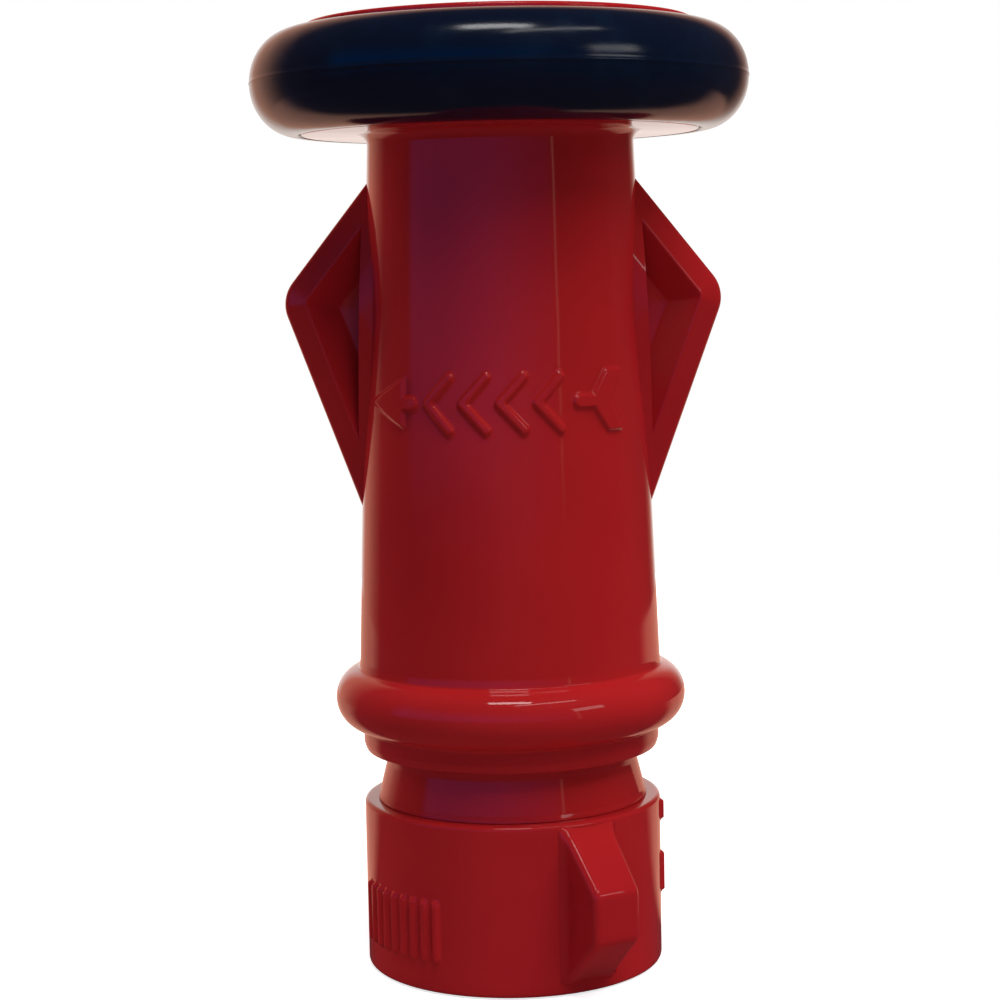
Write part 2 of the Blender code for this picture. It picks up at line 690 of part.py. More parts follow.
def make_throat_seat():
    """The ring that the baffle's seal closes on, let into the barrel from the mouth."""
    low = seat_z - SEAT_THICKNESS
    profile = [
        (THROAT_RADIUS + THROAT_ENTRY, low),
        (SEAT_RADIUS, low),
        (SEAT_RADIUS, seat_z),
        (THROAT_RADIUS + THROAT_EDGE, seat_z),
        (THROAT_RADIUS, seat_z - THROAT_EDGE),
        (THROAT_RADIUS, low + 2 * THROAT_ENTRY),
    ]
    add_solid("throat_seat", spun(profile, SMALL_SEGMENTS), BRASS)


def make_fog_teeth():
    """A ring whose top face is raised in every second sector."""
    low = rim_z - TOOTH_RING_DEPTH + GAP
    high = low + TOOTH_RING_BASE
    inner = SLEEVE_RADIUS + TOOTH_RING_LIP
    profile = [(inner, low), (TOOTH_RING_RADIUS, low), (TOOTH_RING_RADIUS, high), (inner, high)]
    bm = spun(profile, 2 * TOOTH_COUNT)
    bm.normal_update()
    tops = [face for face in bm.faces if all(abs(vert.co.z - high) < GAP / 10 for vert in face.verts)]
    tops.sort(key=lambda face: math.atan2(face.calc_center_median().y, face.calc_center_median().x))
    raised = bmesh.ops.extrude_discrete_faces(bm, faces=tops[::2])
    for face in raised["faces"]:
        for vert in face.verts:
            vert.co.z += TOOTH_HEIGHT
    add_solid("fog_tooth_ring", bm, BLACK_PLASTIC)


def make_bumper():
    """Rubber ring of oval section, gripping the head between its two lips."""
    top, low = rim_z - BUMPER_DROP, flange_z
    middle = (top + low) / 2
    centre = BUMPER_RADIUS - BUMPER_BULGE
    inner = HUB_RADIUS + GAP
    lip_low = flange_z + LIP_THICKNESS + GAP
    lip_top = rim_z - LIP_THICKNESS - GAP
    profile = [
        (inner, lip_low),
        (FLANGE_RADIUS + GAP, lip_low),
        (FLANGE_RADIUS + GAP, low),
        *arc((centre, middle), (BUMPER_BULGE, (top - low) / 2), -84, 84, 14),
        (RIM_RADIUS + GAP, top),
        (RIM_RADIUS + GAP, lip_top),
        (inner, lip_top),
    ]
    add_solid("bumper", spun(profile), BLACK_RUBBER)


# ---------------------------------------------------------------- the nozzle
make_coupling()
make_body()
make_spider()
make_stem()
make_baffle()
make_barrel()
make_throat_seat()
make_fog_teeth()
make_bumper()
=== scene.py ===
# %% [markdown]
# # A red fog nozzle for a fire hose
# The nozzle is an assembly: a coupling that screws on the hose, a body with a tube inside, a barrel that is
# turned to open it, and a rubber bumper round the mouth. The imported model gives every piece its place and
# its size, and it moves as the real one does. This lesson makes the fine surfaces and the finishes that are
# seen, and lights them. Lengths are in millimetres until a mesh is made.

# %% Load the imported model
import math

import bmesh
import bpy
import numpy as np
from mathutils import Matrix, Vector


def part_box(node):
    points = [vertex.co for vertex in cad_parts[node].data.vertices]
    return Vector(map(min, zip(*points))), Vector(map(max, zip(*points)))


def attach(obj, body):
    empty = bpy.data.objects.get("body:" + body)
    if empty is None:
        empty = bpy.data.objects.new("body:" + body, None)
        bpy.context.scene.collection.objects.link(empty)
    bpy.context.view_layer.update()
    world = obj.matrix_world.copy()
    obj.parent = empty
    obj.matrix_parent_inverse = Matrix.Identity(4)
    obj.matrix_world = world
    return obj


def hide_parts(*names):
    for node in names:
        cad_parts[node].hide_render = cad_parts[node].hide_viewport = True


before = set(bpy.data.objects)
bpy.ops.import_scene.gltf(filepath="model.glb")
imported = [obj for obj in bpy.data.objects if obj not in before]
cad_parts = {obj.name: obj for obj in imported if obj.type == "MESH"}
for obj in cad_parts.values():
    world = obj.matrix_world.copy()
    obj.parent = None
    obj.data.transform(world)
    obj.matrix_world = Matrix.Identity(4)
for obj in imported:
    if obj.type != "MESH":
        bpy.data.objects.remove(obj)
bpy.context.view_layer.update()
MM = 0.001
GAP = 0.3          # millimetres left between pieces that touch on a real nozzle


def top_of(node):
    """Height of a node's highest point, in millimetres."""
    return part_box(node)[1].z / MM


def foot_of(node):
    """Height of a node's lowest point, in millimetres."""
    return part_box(node)[0].z / MM


def radius_of(node):
    """Largest distance of a round node from the axis, along Y, in millimetres."""
    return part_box(node)[1].y / MM


# %% [markdown]
# ## Camera
# The nozzle is looked at from the front, from about three quarters of its height, with the camera tipped
# down a little. A long lens keeps its sides nearly parallel. The wings point left and right.

# %% Set up the camera
CAMERA_PLACE = (-1.454, -471.26, 145.79)
CAMERA_DOWN = 5.897        # degrees below the horizon
CAMERA_ROLL = 1.1234       # degrees
LENS = 81.616              # millimetres, over a sensor 36 mm wide

camera_data = bpy.data.cameras.new("camera")
camera_data.sensor_width = 36.0
camera_data.lens = LENS
camera_data.clip_start = 0.01
camera = bpy.data.objects.new("camera", camera_data)
bpy.context.scene.collection.objects.link(camera)
bpy.context.scene.camera = camera
look = Matrix.Rotation(math.radians(90 - CAMERA_DOWN), 4, "X")
roll = Matrix.Rotation(math.radians(-CAMERA_ROLL), 4, "Z")
camera.matrix_world = Matrix.Translation([v * MM for v in CAMERA_PLACE]) @ look @ roll
print("camera", -CAMERA_PLACE[1], "mm in front of the axis, lens", LENS, "mm")

# %% [markdown]
# ## From arrays to meshes
# Every new piece is one or more patches. A patch is an array of points with rows and columns, worked out in
# one go by numpy. `skin` puts the patches of a piece into one mesh. Where two patches meet, their points
# coincide and are merged, which also turns the last row at a pole into a fan. After that all faces are
# turned outwards.


# %% Make a mesh from patches
def skin(name, patches, sharp=40.0):
    """Join patches of points (rows, columns, 3) in millimetres into one closed mesh.

    A patch is (points, wrap): with wrap its last column joins the first. Each quad is the point (i, j)
    with its right, upper right and upper neighbours.
    """
    verts, quads, offset = [], [], 0
    for points, wrap in patches:
        rows, columns = points.shape[:2]
        i = np.arange(rows - 1)[:, None]
        j = np.arange(columns if wrap else columns - 1)[None, :]
        right = (j + 1) % columns
        corners = [i * columns + j, i * columns + right, (i + 1) * columns + right, (i + 1) * columns + j]
        quads.append(np.stack(corners, -1).reshape(-1, 4) + offset)
        verts.append(points.reshape(-1, 3) * MM)
        offset += rows * columns
    mesh = bpy.data.meshes.new(name)
    mesh.from_pydata(np.concatenate(verts).tolist(), [], np.concatenate(quads).tolist())
    bm = bmesh.new()
    bm.from_mesh(mesh)
    bmesh.ops.remove_doubles(bm, verts=bm.verts, dist=1e-6)
    bmesh.ops.recalc_face_normals(bm, faces=bm.faces)
    bm.to_mesh(mesh)
    bm.free()
    mesh.shade_smooth()
    mesh.set_sharp_from_angle(angle=math.radians(sharp))
    piece = bpy.data.objects.new(name, mesh)
    bpy.context.scene.collection.objects.link(piece)
    open_edges = sum(1 for e in edge_uses(mesh) if e == 1)
    print(name, len(mesh.polygons), "faces,", open_edges, "open edges")
    return piece


def edge_uses(mesh):
    """How many faces use each edge: two everywhere on a closed mesh."""
    edges = np.empty(len(mesh.loops), int)
    mesh.loops.foreach_get("edge_index", edges)
    return np.bincount(edges, minlength=len(mesh.edges)).tolist()


# %% [markdown]
# ## Turned surfaces
# Most of a nozzle is turned or moulded round: one profile carried round the axis. A moulding has no sharp
# corner, so a profile point may have a fillet radius as its third number, and `filleted` swaps that corner
# for an arc. `around` then carries the profile round Z. A relief adds a raised mark, a thread or knurling
# as a height over the plain surface.


# %% Profile with filleted corners
def filleted(points, closed=False, step=15.0):
    """Swap each corner (x, y, fillet) of an outline for an arc.

    The arc touches both lines at fillet / tan(half the corner's angle) from the corner.
    """
    corners = [np.array(p[:2], float) for p in points]
    fillets = [p[2] if len(p) > 2 else 0.0 for p in points]
    out = []
    for i, (corner, fillet) in enumerate(zip(corners, fillets)):
        if fillet == 0.0 or (not closed and i in (0, len(corners) - 1)):
            out.append(corner[None])
            continue
        before = corners[i - 1] - corner
        after = corners[(i + 1) % len(corners)] - corner
        before, after = before / np.linalg.norm(before), after / np.linalg.norm(after)
        half = math.acos(np.clip(before @ after, -1.0, 1.0)) / 2
        centre = corner + (before + after) / np.linalg.norm(before + after) * fillet / math.sin(half)
        first = corner + before * fillet / math.tan(half) - centre
        last = corner + after * fillet / math.tan(half) - centre
        sweep = math.atan2(first[0] * last[1] - first[1] * last[0], first @ last)
        t = np.linspace(0.0, sweep, max(3, int(abs(math.degrees(sweep)) / step) + 2))[:, None]
        across = np.array((-first[1], first[0]))
        out.append(centre + np.cos(t) * first + np.sin(t) * across)
    return np.concatenate(out)


def ellipse(centre, radii, start, end, steps):
    """Points on part of an ellipse, angles in degrees from +radius towards +height."""
    a = np.radians(np.linspace(start, end, steps + 1))
    return np.stack([centre[0] + radii[0] * np.cos(a), centre[1] + radii[1] * np.sin(a)], -1)


def refined(profile, spacing, low, high):
    """Add rows to a profile where it lies between two heights, so that they are `spacing` apart."""
    out = [profile[:1]]
    for a, b in zip(profile, profile[1:]):
        parts = 1
        if min(a[1], b[1]) < high and max(a[1], b[1]) > low:
            parts = max(1, math.ceil(np.linalg.norm(b - a) / spacing))
        out.append(a + (b - a) * np.arange(1, parts + 1)[:, None] / parts)
    return np.concatenate(out)


# %% Carry a profile round the axis
def full_circle(count):
    """Evenly spaced angles round the circle."""
    return np.arange(count) * 2 * math.pi / count


def circle_with_detail(coarse, spans):
    """Angles round the circle, coarse degrees apart, and finer in each (start, end, step) span."""
    plain = np.arange(0.0, 360.0, coarse)
    keep = np.ones(len(plain), bool)
    fine = []
    for start, end, step in spans:
        keep &= (plain - start) % 360 > (end - start)
        fine.append((start + np.linspace(0, end - start, math.ceil((end - start) / step) + 1)) % 360)
    return np.radians(np.unique(np.round(np.concatenate([plain[keep], *fine]), 5)))


def around(profile, angles, relief=None, lift=None, closed=True):
    """Carry a profile of (radius, height) round Z: ((r + relief) cos a, (r + relief) sin a, z + lift).

    Relief and lift are functions of the angle, the height and the plain radius.
    """
    profile = np.concatenate([profile, profile[:1]]) if closed else profile
    radius, height = profile[:, 0][:, None], profile[:, 1][:, None]
    a = angles[None, :] + 0 * radius
    r, z = radius + 0 * a, height + 0 * a
    out = r + (relief(a, z, r) if relief else 0.0)
    up = z + (lift(a, z, r) if lift else 0.0)
    return np.stack([out * np.cos(a), out * np.sin(a), up], -1), True


def ring_profile(inner, outer, low, high, edge):
    """Section of a flat ring with rounded edges."""
    corners = [(inner, low, edge), (outer, low, edge), (outer, high, edge), (inner, high, edge)]
    return filleted(corners, closed=True, step=30.0)


def place(piece, body, slot, finish, *nodes):
    """Let a piece ride on its body, hide its imported nodes and wear its finish."""
    piece.data.materials.append(finish)
    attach(piece, body)
    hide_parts(*nodes)
    return piece


def smooth(x):
    """Smooth step from 0 to 1 as x goes from 0 to 1: 3x^2 - 2x^3."""
    x = np.clip(x, 0.0, 1.0)
    return x * x * (3 - 2 * x)


print("helpers ready")

# %% [markdown]
# ## Finishes
# The finishes are made of nodes. What several of them share is a node group: the slight waviness and fine
# handling marks of a moulded skin, the rings a lathe leaves on brass, and the bloom that greys old rubber.
# All of them read Object coordinates, which keep their scale on every piece.


# %% Small helpers for nodes
def add_node(tree, kind, inputs=None, **settings):
    """Add a shader node, set its properties, and fill its inputs with numbers or with other outputs."""
    made = tree.nodes.new("ShaderNode" + kind)
    for key, value in settings.items():
        setattr(made, key, value)
    for key, value in (inputs or {}).items():
        if isinstance(value, bpy.types.NodeSocket):
            tree.links.new(value, made.inputs[key])
        else:
            made.inputs[key].default_value = value
    return made


def new_group(name):
    """An empty node group: two colours and two roughnesses in, a colour, a roughness and a normal out."""
    tree = bpy.data.node_groups.new(name, "ShaderNodeTree")
    for label, kind in (("Colour", "Color"), ("Second colour", "Color"), ("Smooth", "Float"), ("Dull", "Float")):
        tree.interface.new_socket(label, in_out="INPUT", socket_type="NodeSocket" + kind)
    for label, kind in (("Colour", "Color"), ("Roughness", "Float"), ("Normal", "Vector")):
        tree.interface.new_socket(label, in_out="OUTPUT", socket_type="NodeSocket" + kind)
    return tree


def noise(tree, scale, detail=3.0, stretch=(1.0, 1.0, 1.0)):
    """Noise on Object coordinates; stretch above 1 squeezes the pattern along that axis."""
    where = add_node(tree, "TexCoord").outputs["Object"]
    mapped = add_node(tree, "Mapping", {"Vector": where, "Scale": stretch}).outputs["Vector"]
    made = add_node(tree, "TexNoise", {"Vector": mapped, "Scale": scale, "Detail": detail})
    return made.outputs["Fac"]


def band(tree, value, low, high, to_low=0.0, to_high=1.0):
    """Map a value's range from low..high to to_low..to_high, clamped."""
    ends = {"Value": value, "From Min": low, "From Max": high, "To Min": to_low, "To Max": to_high}
    return add_node(tree, "MapRange", ends).outputs["Result"]


def blend_colour(tree, share, first, second):
    """Mix two colours by a share."""
    made = add_node(tree, "Mix", data_type="RGBA")
    for socket, value in ((0, share), (6, first), (7, second)):
        if isinstance(value, bpy.types.NodeSocket):
            tree.links.new(value, made.inputs[socket])
        else:
            made.inputs[socket].default_value = value
    return made.outputs[2]


def bumped(tree, height, depth, onto=None):
    """Tilt the normals by a height between 0 and 1, `depth` metres deep."""
    inputs = {"Height": height, "Distance": depth, "Strength": 1.0}
    if onto is not None:
        inputs["Normal"] = onto
    return add_node(tree, "Bump", inputs).outputs["Normal"]


def wire_group(tree, shade, wear, normal):
    """Blend a group's two colours by `shade` and its two roughnesses by `wear`, and pass the normal on."""
    entry, leave = tree.nodes.new("NodeGroupInput"), tree.nodes.new("NodeGroupOutput")
    first, second, clean, dull = entry.outputs[:4]
    tree.links.new(blend_colour(tree, shade, first, second), leave.inputs["Colour"])
    tree.links.new(band(tree, wear, 0.0, 1.0, clean, dull), leave.inputs["Roughness"])
    tree.links.new(normal, leave.inputs["Normal"])


def finish(name, constants):
    """A material with its constant values on the Principled shader's own sockets."""
    made = bpy.data.materials.new(name)
    made.use_nodes = True
    shader = made.node_tree.nodes["Principled BSDF"]
    for key, value in constants.items():
        shader.inputs[key].default_value = value
    return made, made.node_tree, shader


# %% Moulded skin: waviness, fine scratches and rubbed patches
moulded = new_group("moulded_skin")
shade = band(moulded, noise(moulded, 22.0, 2.0), 0.35, 0.7)
scratch = band(moulded, noise(moulded, 60.0, 4.0, (9.0, 9.0, 0.5)), 0.64, 0.70)
patch = band(moulded, noise(moulded, 70.0, 5.0), 0.45, 0.75)
marks = add_node(moulded, "Math", {0: scratch, 1: patch}, operation="MULTIPLY").outputs[0]
wavy = bumped(moulded, noise(moulded, 55.0, 1.0), 0.00012)
peel = bumped(moulded, noise(moulded, 900.0, 2.0), 0.0000025, wavy)
wire_group(moulded, shade, marks, peel)

# %% Lathe marks: fine rings on end faces and bands on sides
turned_marks = new_group("turned_marks")
place_on = add_node(turned_marks, "TexCoord").outputs["Object"]
cuts = {"Vector": place_on, "Scale": 900.0, "Distortion": 0.6, "Detail": 1.0}
rings = add_node(turned_marks, "TexWave", cuts, wave_type="RINGS", rings_direction="Z").outputs["Fac"]
bands = add_node(turned_marks, "TexWave", cuts, wave_type="BANDS", bands_direction="Z").outputs["Fac"]
both = add_node(turned_marks, "Math", {0: rings, 1: bands}, operation="ADD").outputs[0]
cloud = band(turned_marks, noise(turned_marks, 160.0, 6.0), 0.42, 0.72)
wire_group(turned_marks, cloud, cloud, bumped(turned_marks, both, 0.0000035))

# %% Rubber bloom: fine grain and greyer rubbed patches
bloom = new_group("rubber_bloom")
dust = band(bloom, noise(bloom, 120.0, 6.0), 0.5, 0.8)
soft = bumped(bloom, noise(bloom, 90.0, 1.0), 0.00010)
wire_group(bloom, dust, dust, bumped(bloom, noise(bloom, 2200.0, 3.0), 0.000010, soft))


# %% The six finishes
def finished(name, group, first, second, smooth_value, dull_value, constants):
    """A finish whose colour, roughness and normals come from a group."""
    made, tree, shader = finish(name, constants)
    use = add_node(tree, "Group")
    use.node_tree = group
    values = ((*first, 1.0), (*second, 1.0), smooth_value, dull_value)
    for socket, value in zip(use.inputs, values):
        socket.default_value = value
    tree.links.new(use.outputs["Colour"], shader.inputs["Base Color"])
    tree.links.new(use.outputs["Roughness"], shader.inputs["Roughness"])
    tree.links.new(use.outputs["Normal"], shader.inputs["Normal"])
    return made


red_plastic = finished(
    "red_plastic", moulded, (0.50, 0.016, 0.017), (0.43, 0.012, 0.016), 0.06, 0.16, {"IOR": 1.5})
black_plastic = finished("black_plastic", moulded, (0.016, 0.016, 0.018), (0.022, 0.021, 0.021), 0.30, 0.45,
                         {"IOR": 1.48})
bumper_rubber = finished("bumper_rubber", bloom, (0.001, 0.006, 0.019), (0.001, 0.010, 0.028), 0.15, 0.22,
                         {"IOR": 1.52})
seal_rubber = finished("seal_rubber", bloom, (0.014, 0.014, 0.015), (0.030, 0.029, 0.028), 0.50, 0.65,
                       {"IOR": 1.50})
brass = finished("brass", turned_marks, (0.83, 0.60, 0.30), (0.62, 0.41, 0.18), 0.22, 0.38, {"Metallic": 1.0})
steel = finished("steel", turned_marks, (0.62, 0.62, 0.61), (0.50, 0.50, 0.50), 0.22, 0.36, {"Metallic": 1.0})
print("finishes:", [m.name for m in bpy.data.materials])

# %% [markdown]
# ## The coupling
# The coupling turns freely on the nozzle and screws on the hose. It is a plain moulded ring, with a female
# thread in its mouth and two ears, the rocker lugs, for a spanner. It carries raised marks: here a row of
# plain ribs on the left and two bars on the right. The thread and the marks are reliefs on one turned
# surface, so nothing is merged and the rows and columns are only fine where a mark needs them.

# %% Thread relief
def thread(lead, depth, low, high, width=0.5):
    """A right-hand thread groove as a height from 0 to depth.

    Its phase is z / lead - a / 2 pi. The groove is a rounded V over `width` of each turn, and fades in
    and out over a third of a lead at its two ends.
    """
    def height(a, z, r):
        phase = (z / lead - a / (2 * math.pi)) % 1.0
        groove = smooth(1.0 - np.abs(phase - 0.5) / (width / 2))
        ends = smooth((z - low) * 3 / lead) * smooth((high - z) * 3 / lead)
        return depth * groove * ends
    return height


# %% Coupling ring
COUPLING_RADIUS = 31.1
SWIVEL_BORE = 27.7
HOSE_THREAD_RADIUS = 23.9       # crests
HOSE_THREAD_LEAD = 25.4 / 9
HOSE_THREAD_DEPTH = 1.35
SHOULDER_Z = 17.0
RING_GROOVE = 1.4               # how deep a retaining ring sits in a bore
RIB_ANGLES = np.arange(-73.0, -30.0, 5.25)     # degrees from the front, towards +X
BAR_ANGLE = 87.0
coupling_top = top_of("swivel_coupling")
ring_low, ring_top = foot_of("swivel_retaining_ring"), top_of("swivel_retaining_ring")

hose_thread = thread(HOSE_THREAD_LEAD, HOSE_THREAD_DEPTH, 1.0, SHOULDER_Z - 0.6, 0.9)


def capsule(u, v, low, high, half_width):
    """Distance to an upright bar with round ends, below zero inside: |(u, v - nearest)| - half width."""
    return np.hypot(u, v - np.clip(v, low, high)) - half_width


def coupling_relief(a, z, r):
    """Ribs and bars outside, the hose thread inside."""
    front = np.degrees((a + math.pi / 2 + math.pi) % (2 * math.pi) - math.pi)
    arc_length = math.radians(1.0) * COUPLING_RADIUS
    gap = np.full_like(a, 9.0)
    for angle in RIB_ANGLES:
        gap = np.minimum(gap, capsule((front - angle) * arc_length, z, 7.2, 18.2, 0.75))
    for low, high in ((14.6, 21.0), (30.0, 32.2)):
        gap = np.minimum(gap, capsule((front - BAR_ANGLE) * arc_length, z, low, high, 1.0))
    outside = np.abs(r - COUPLING_RADIUS) < 0.01
    inside = np.abs(r - HOSE_THREAD_RADIUS) < 0.01
    return np.where(outside, 0.8 * smooth(0.5 - gap / 0.7), 0.0) + np.where(inside, hose_thread(a, z, r), 0.0)


coupling_profile = filleted([
    (HOSE_THREAD_RADIUS + 1.6, 0.0, 0.3),
    (COUPLING_RADIUS, 0.0, 0.9),
    (COUPLING_RADIUS, coupling_top, 0.9),
    (SWIVEL_BORE, coupling_top, 0.3),
    (SWIVEL_BORE, ring_top + GAP),
    (SWIVEL_BORE + RING_GROOVE, ring_top + GAP),
    (SWIVEL_BORE + RING_GROOVE, ring_low - GAP),
    (SWIVEL_BORE, ring_low - GAP),
    (SWIVEL_BORE, SHOULDER_Z),
    (HOSE_THREAD_RADIUS, SHOULDER_Z, 0.2),
    (HOSE_THREAD_RADIUS, 1.6, 0.3),
], closed=True)
coupling_profile = refined(coupling_profile, 0.4, 1.0, 33.5)
coupling_angles = circle_with_detail(3.0, [(-166.0, -117.0, 0.6), (-6.5, 0.5, 0.6)])
lug_angle = math.radians(28.5 - 90.0)


# %% Rocker lugs
LUG_ROOT, LUG_REACH = 30.6, 42.4      # distances from the axis
LUG_OUTLINE = [(29.3, 34.4), (LUG_ROOT, 34.4, 0.6), (LUG_REACH, 23.0, 2.4), (LUG_REACH, 13.0, 2.4),
               (LUG_ROOT, 2.0, 0.6), (29.3, 2.0)]
LUG_CENTRE = np.array((35.0, 18.0))
LUG_EDGE = 1.3


def pressed(outline, centre, half_width, edge):
    """A flat solid with rounded edges between two flanks, as an array of rings.

    Rings grow from the centre to the outline less the edge radius, then turn over the edge by
    edge * (sin, cos), and come back on the other side. half_width is a function of the radius.
    """
    outline = refined(np.concatenate([outline, outline[:1]]), 0.7, -99.0, 999.0)[:-1]
    along = np.roll(outline, -1, 0) - np.roll(outline, 1, 0)
    along /= np.linalg.norm(along, axis=1)[:, None]
    out = np.stack([along[:, 1], -along[:, 0]], -1)
    if np.sum(out * (outline - centre)) < 0:
        out = -out
    inset = outline - edge * out
    grow = np.linspace(0.0, 1.0, 9)[:, None, None]
    flank = centre + (inset - centre) * grow
    turn = np.linspace(0.0, math.pi / 2, 7)[1:, None, None]
    over = inset + edge * np.sin(turn) * out
    flat = np.concatenate([flank, over])
    drop = np.concatenate([np.zeros(9), edge * (1 - np.cos(turn[:, 0, 0]))])[:, None]
    wide = half_width(flat[..., 0]) - drop
    front = np.stack([flat[..., 0], -wide, flat[..., 1]], -1)
    back = np.stack([flat[..., 0], wide, flat[..., 1]], -1)[::-1]
    return np.concatenate([front, back])


def lug_half_width(x):
    """Half the lug's width: straight from root to face, with a flare where it meets the ring."""
    straight = 5.7 - 0.6 * (x - LUG_ROOT) / (LUG_REACH - LUG_ROOT)
    return straight + 1.0 * np.clip(1.0 - (x - 30.2) / 2.6, 0.0, 1.0) ** 2


def spun_to(points, angle):
    """Turn points round Z."""
    c, s = math.cos(angle), math.sin(angle)
    return points @ np.array([[c, s, 0.0], [-s, c, 0.0], [0.0, 0.0, 1.0]])


lug = pressed(filleted(LUG_OUTLINE, closed=True), LUG_CENTRE, lug_half_width, LUG_EDGE)
coupling = skin("coupling_moulding", [
    around(coupling_profile, coupling_angles, coupling_relief, closed=True),
    (spun_to(lug, lug_angle), True),
    (spun_to(lug, lug_angle + math.pi), True),
], sharp=50.0)
place(coupling, "coupling", "red_plastic", red_plastic, "swivel_coupling")

# %% Gasket
gasket = skin("hose_gasket", [around(
    ring_profile(19.85, radius_of("inlet_gasket"), foot_of("inlet_gasket"), top_of("inlet_gasket"), 0.5),
    full_circle(120))])
place(gasket, "coupling", "seal_rubber", seal_rubber, "inlet_gasket")

# %% [markdown]
# ## Body, tube and seals
# The neck under the barrel grows into a tube that carries the coarse thread of the barrel. It is mostly
# hidden, but it shows in the gap over the coupling, through the inlet, and when the nozzle is taken apart.

# %% Body
NECK_FOOT = 28.3
NECK_TOP = 26.2
BARREL_LEAD = 8.0
THREAD_DEPTH = 1.5
TAIL_RADIUS = 27.4
TUBE_RADIUS = 24.84
TUBE_BORE = 20.64
SEAL_GROOVE = 2.3           # depth of an O-ring's groove
SEAL_GROOVE_WIDTH = 2.6
SPIGOT_BORE = TUBE_BORE - 2.0
tail_z = foot_of("nozzle_body")
tube_end = top_of("nozzle_body")
neck_z = coupling_top + 0.08
thread_radius = TUBE_RADIUS + THREAD_DEPTH
THREAD_LOW, THREAD_HIGH = 50.0, 82.0      # the groove runs out through the front end of the land
LAND_END = 76.0
seal_low = foot_of("swivel_o_ring") - GAP
tube_seal_low = foot_of("body_o_ring") - GAP
spider_ring_low = foot_of("spider_retaining_ring") - GAP
spider_top = top_of("spider")

body_thread = thread(BARREL_LEAD, -THREAD_DEPTH, THREAD_LOW, THREAD_HIGH, 0.62)


def body_relief(a, z, r):
    """The coarse thread's groove on its land and the land's chamfer, never deeper than the tube."""
    on_land = (r > TUBE_RADIUS + 0.01) & (z > THREAD_LOW - 2.0) & (z < LAND_END + 0.01)
    return np.where(on_land, np.maximum(body_thread(a, z, r), TUBE_RADIUS - r), 0.0)


body_profile = refined(filleted([
    (TUBE_BORE, tail_z, 0.6), (TAIL_RADIUS, tail_z, 0.6),
    (TAIL_RADIUS, seal_low), (TAIL_RADIUS - SEAL_GROOVE, seal_low),
    (TAIL_RADIUS - SEAL_GROOVE, seal_low + SEAL_GROOVE_WIDTH), (TAIL_RADIUS, seal_low + SEAL_GROOVE_WIDTH),
    (TAIL_RADIUS, ring_low - GAP), (26.15, ring_low - GAP), (26.15, ring_top + GAP), (TAIL_RADIUS, ring_top + GAP),
    (TAIL_RADIUS, neck_z), (NECK_FOOT, neck_z, 0.06), (NECK_FOOT - 0.1, neck_z + 0.5, 0.4),
    (27.9, neck_z + 1.2, 2.0), (NECK_TOP, neck_z + 8.0, 4.0),
    (thread_radius, 48.6, 1.0), (thread_radius, 74.5, 0.4), (TUBE_RADIUS, LAND_END, 0.6),
    (TUBE_RADIUS, tube_seal_low), (TUBE_RADIUS - SEAL_GROOVE, tube_seal_low),
    (TUBE_RADIUS - SEAL_GROOVE, tube_seal_low + SEAL_GROOVE_WIDTH),
    (TUBE_RADIUS, tube_seal_low + SEAL_GROOVE_WIDTH),
    (TUBE_RADIUS, tube_end, 1.0), (SPIGOT_BORE, tube_end, 0.3),
    (SPIGOT_BORE, spider_top + GAP), (TUBE_BORE, spider_top + GAP), (TUBE_BORE, spider_ring_low + 2.4),
    (TUBE_BORE + RING_GROOVE, spider_ring_low + 2.4), (TUBE_BORE + RING_GROOVE, spider_ring_low),
    (TUBE_BORE, spider_ring_low),
], closed=True), 0.5, THREAD_LOW, LAND_END)
body = skin("body_and_tube", [around(body_profile, full_circle(144), body_relief)], sharp=45.0)
place(body, "body", "red_plastic", red_plastic, "nozzle_body")


# %% O-rings and split rings
def o_ring(name, body_name, node):
    """A round section whose size and place are its node's: half its height is the section's radius."""
    half = (top_of(node) - foot_of(node)) / 2
    centre = (radius_of(node) - half, foot_of(node) + half)
    piece = skin(name, [around(ellipse(centre, (half, half), 0, 345, 23), full_circle(144))])
    return place(piece, body_name, "seal_rubber", seal_rubber, node)


def split_ring(name, body_name, node, width, opening):
    """A spring ring of square section with a gap, its two ends closed."""
    profile = ring_profile(radius_of(node) - width, radius_of(node), foot_of(node), top_of(node), 0.25)
    profile = np.concatenate([profile, profile[:1]])
    half = math.radians(opening) / 2
    a = np.linspace(half, 2 * math.pi - half, 121)[:, None]
    radius, height = profile[:, 0][None, :], profile[:, 1][None, :]
    loop = np.stack([radius * np.cos(a), radius * np.sin(a), height + 0 * a], -1)
    ends = [np.broadcast_to(loop[k].mean(0), loop[k].shape)[None] for k in (0, -1)]
    piece = skin(name, [(np.concatenate([ends[0], loop, ends[1]]), False)])
    return place(piece, body_name, "steel", steel, node)


o_ring("swivel_seal", "body", "swivel_o_ring")
o_ring("tube_seal", "body", "body_o_ring")
o_ring("barrel_seal", "carriage", "barrel_o_ring")
split_ring("swivel_ring", "coupling", "swivel_retaining_ring", 2.2, 14.0)
split_ring("spider_ring", "body", "spider_retaining_ring", 2.2, 28.0)

# %% [markdown]
# ## The barrel
# The barrel is one moulding: a skirt, a round bead, a tapered grip, and a head with two lips that hold the
# bumper. Inside it has a coarse thread, a sealing bore, the throat and a flared cup. A raised arrow with
# four chevrons shows which way it is turned to open. The mark is a height over the tapered surface, worked
# out from the distance to its strokes on the unrolled grip, so it bends with the grip as a moulded one does.

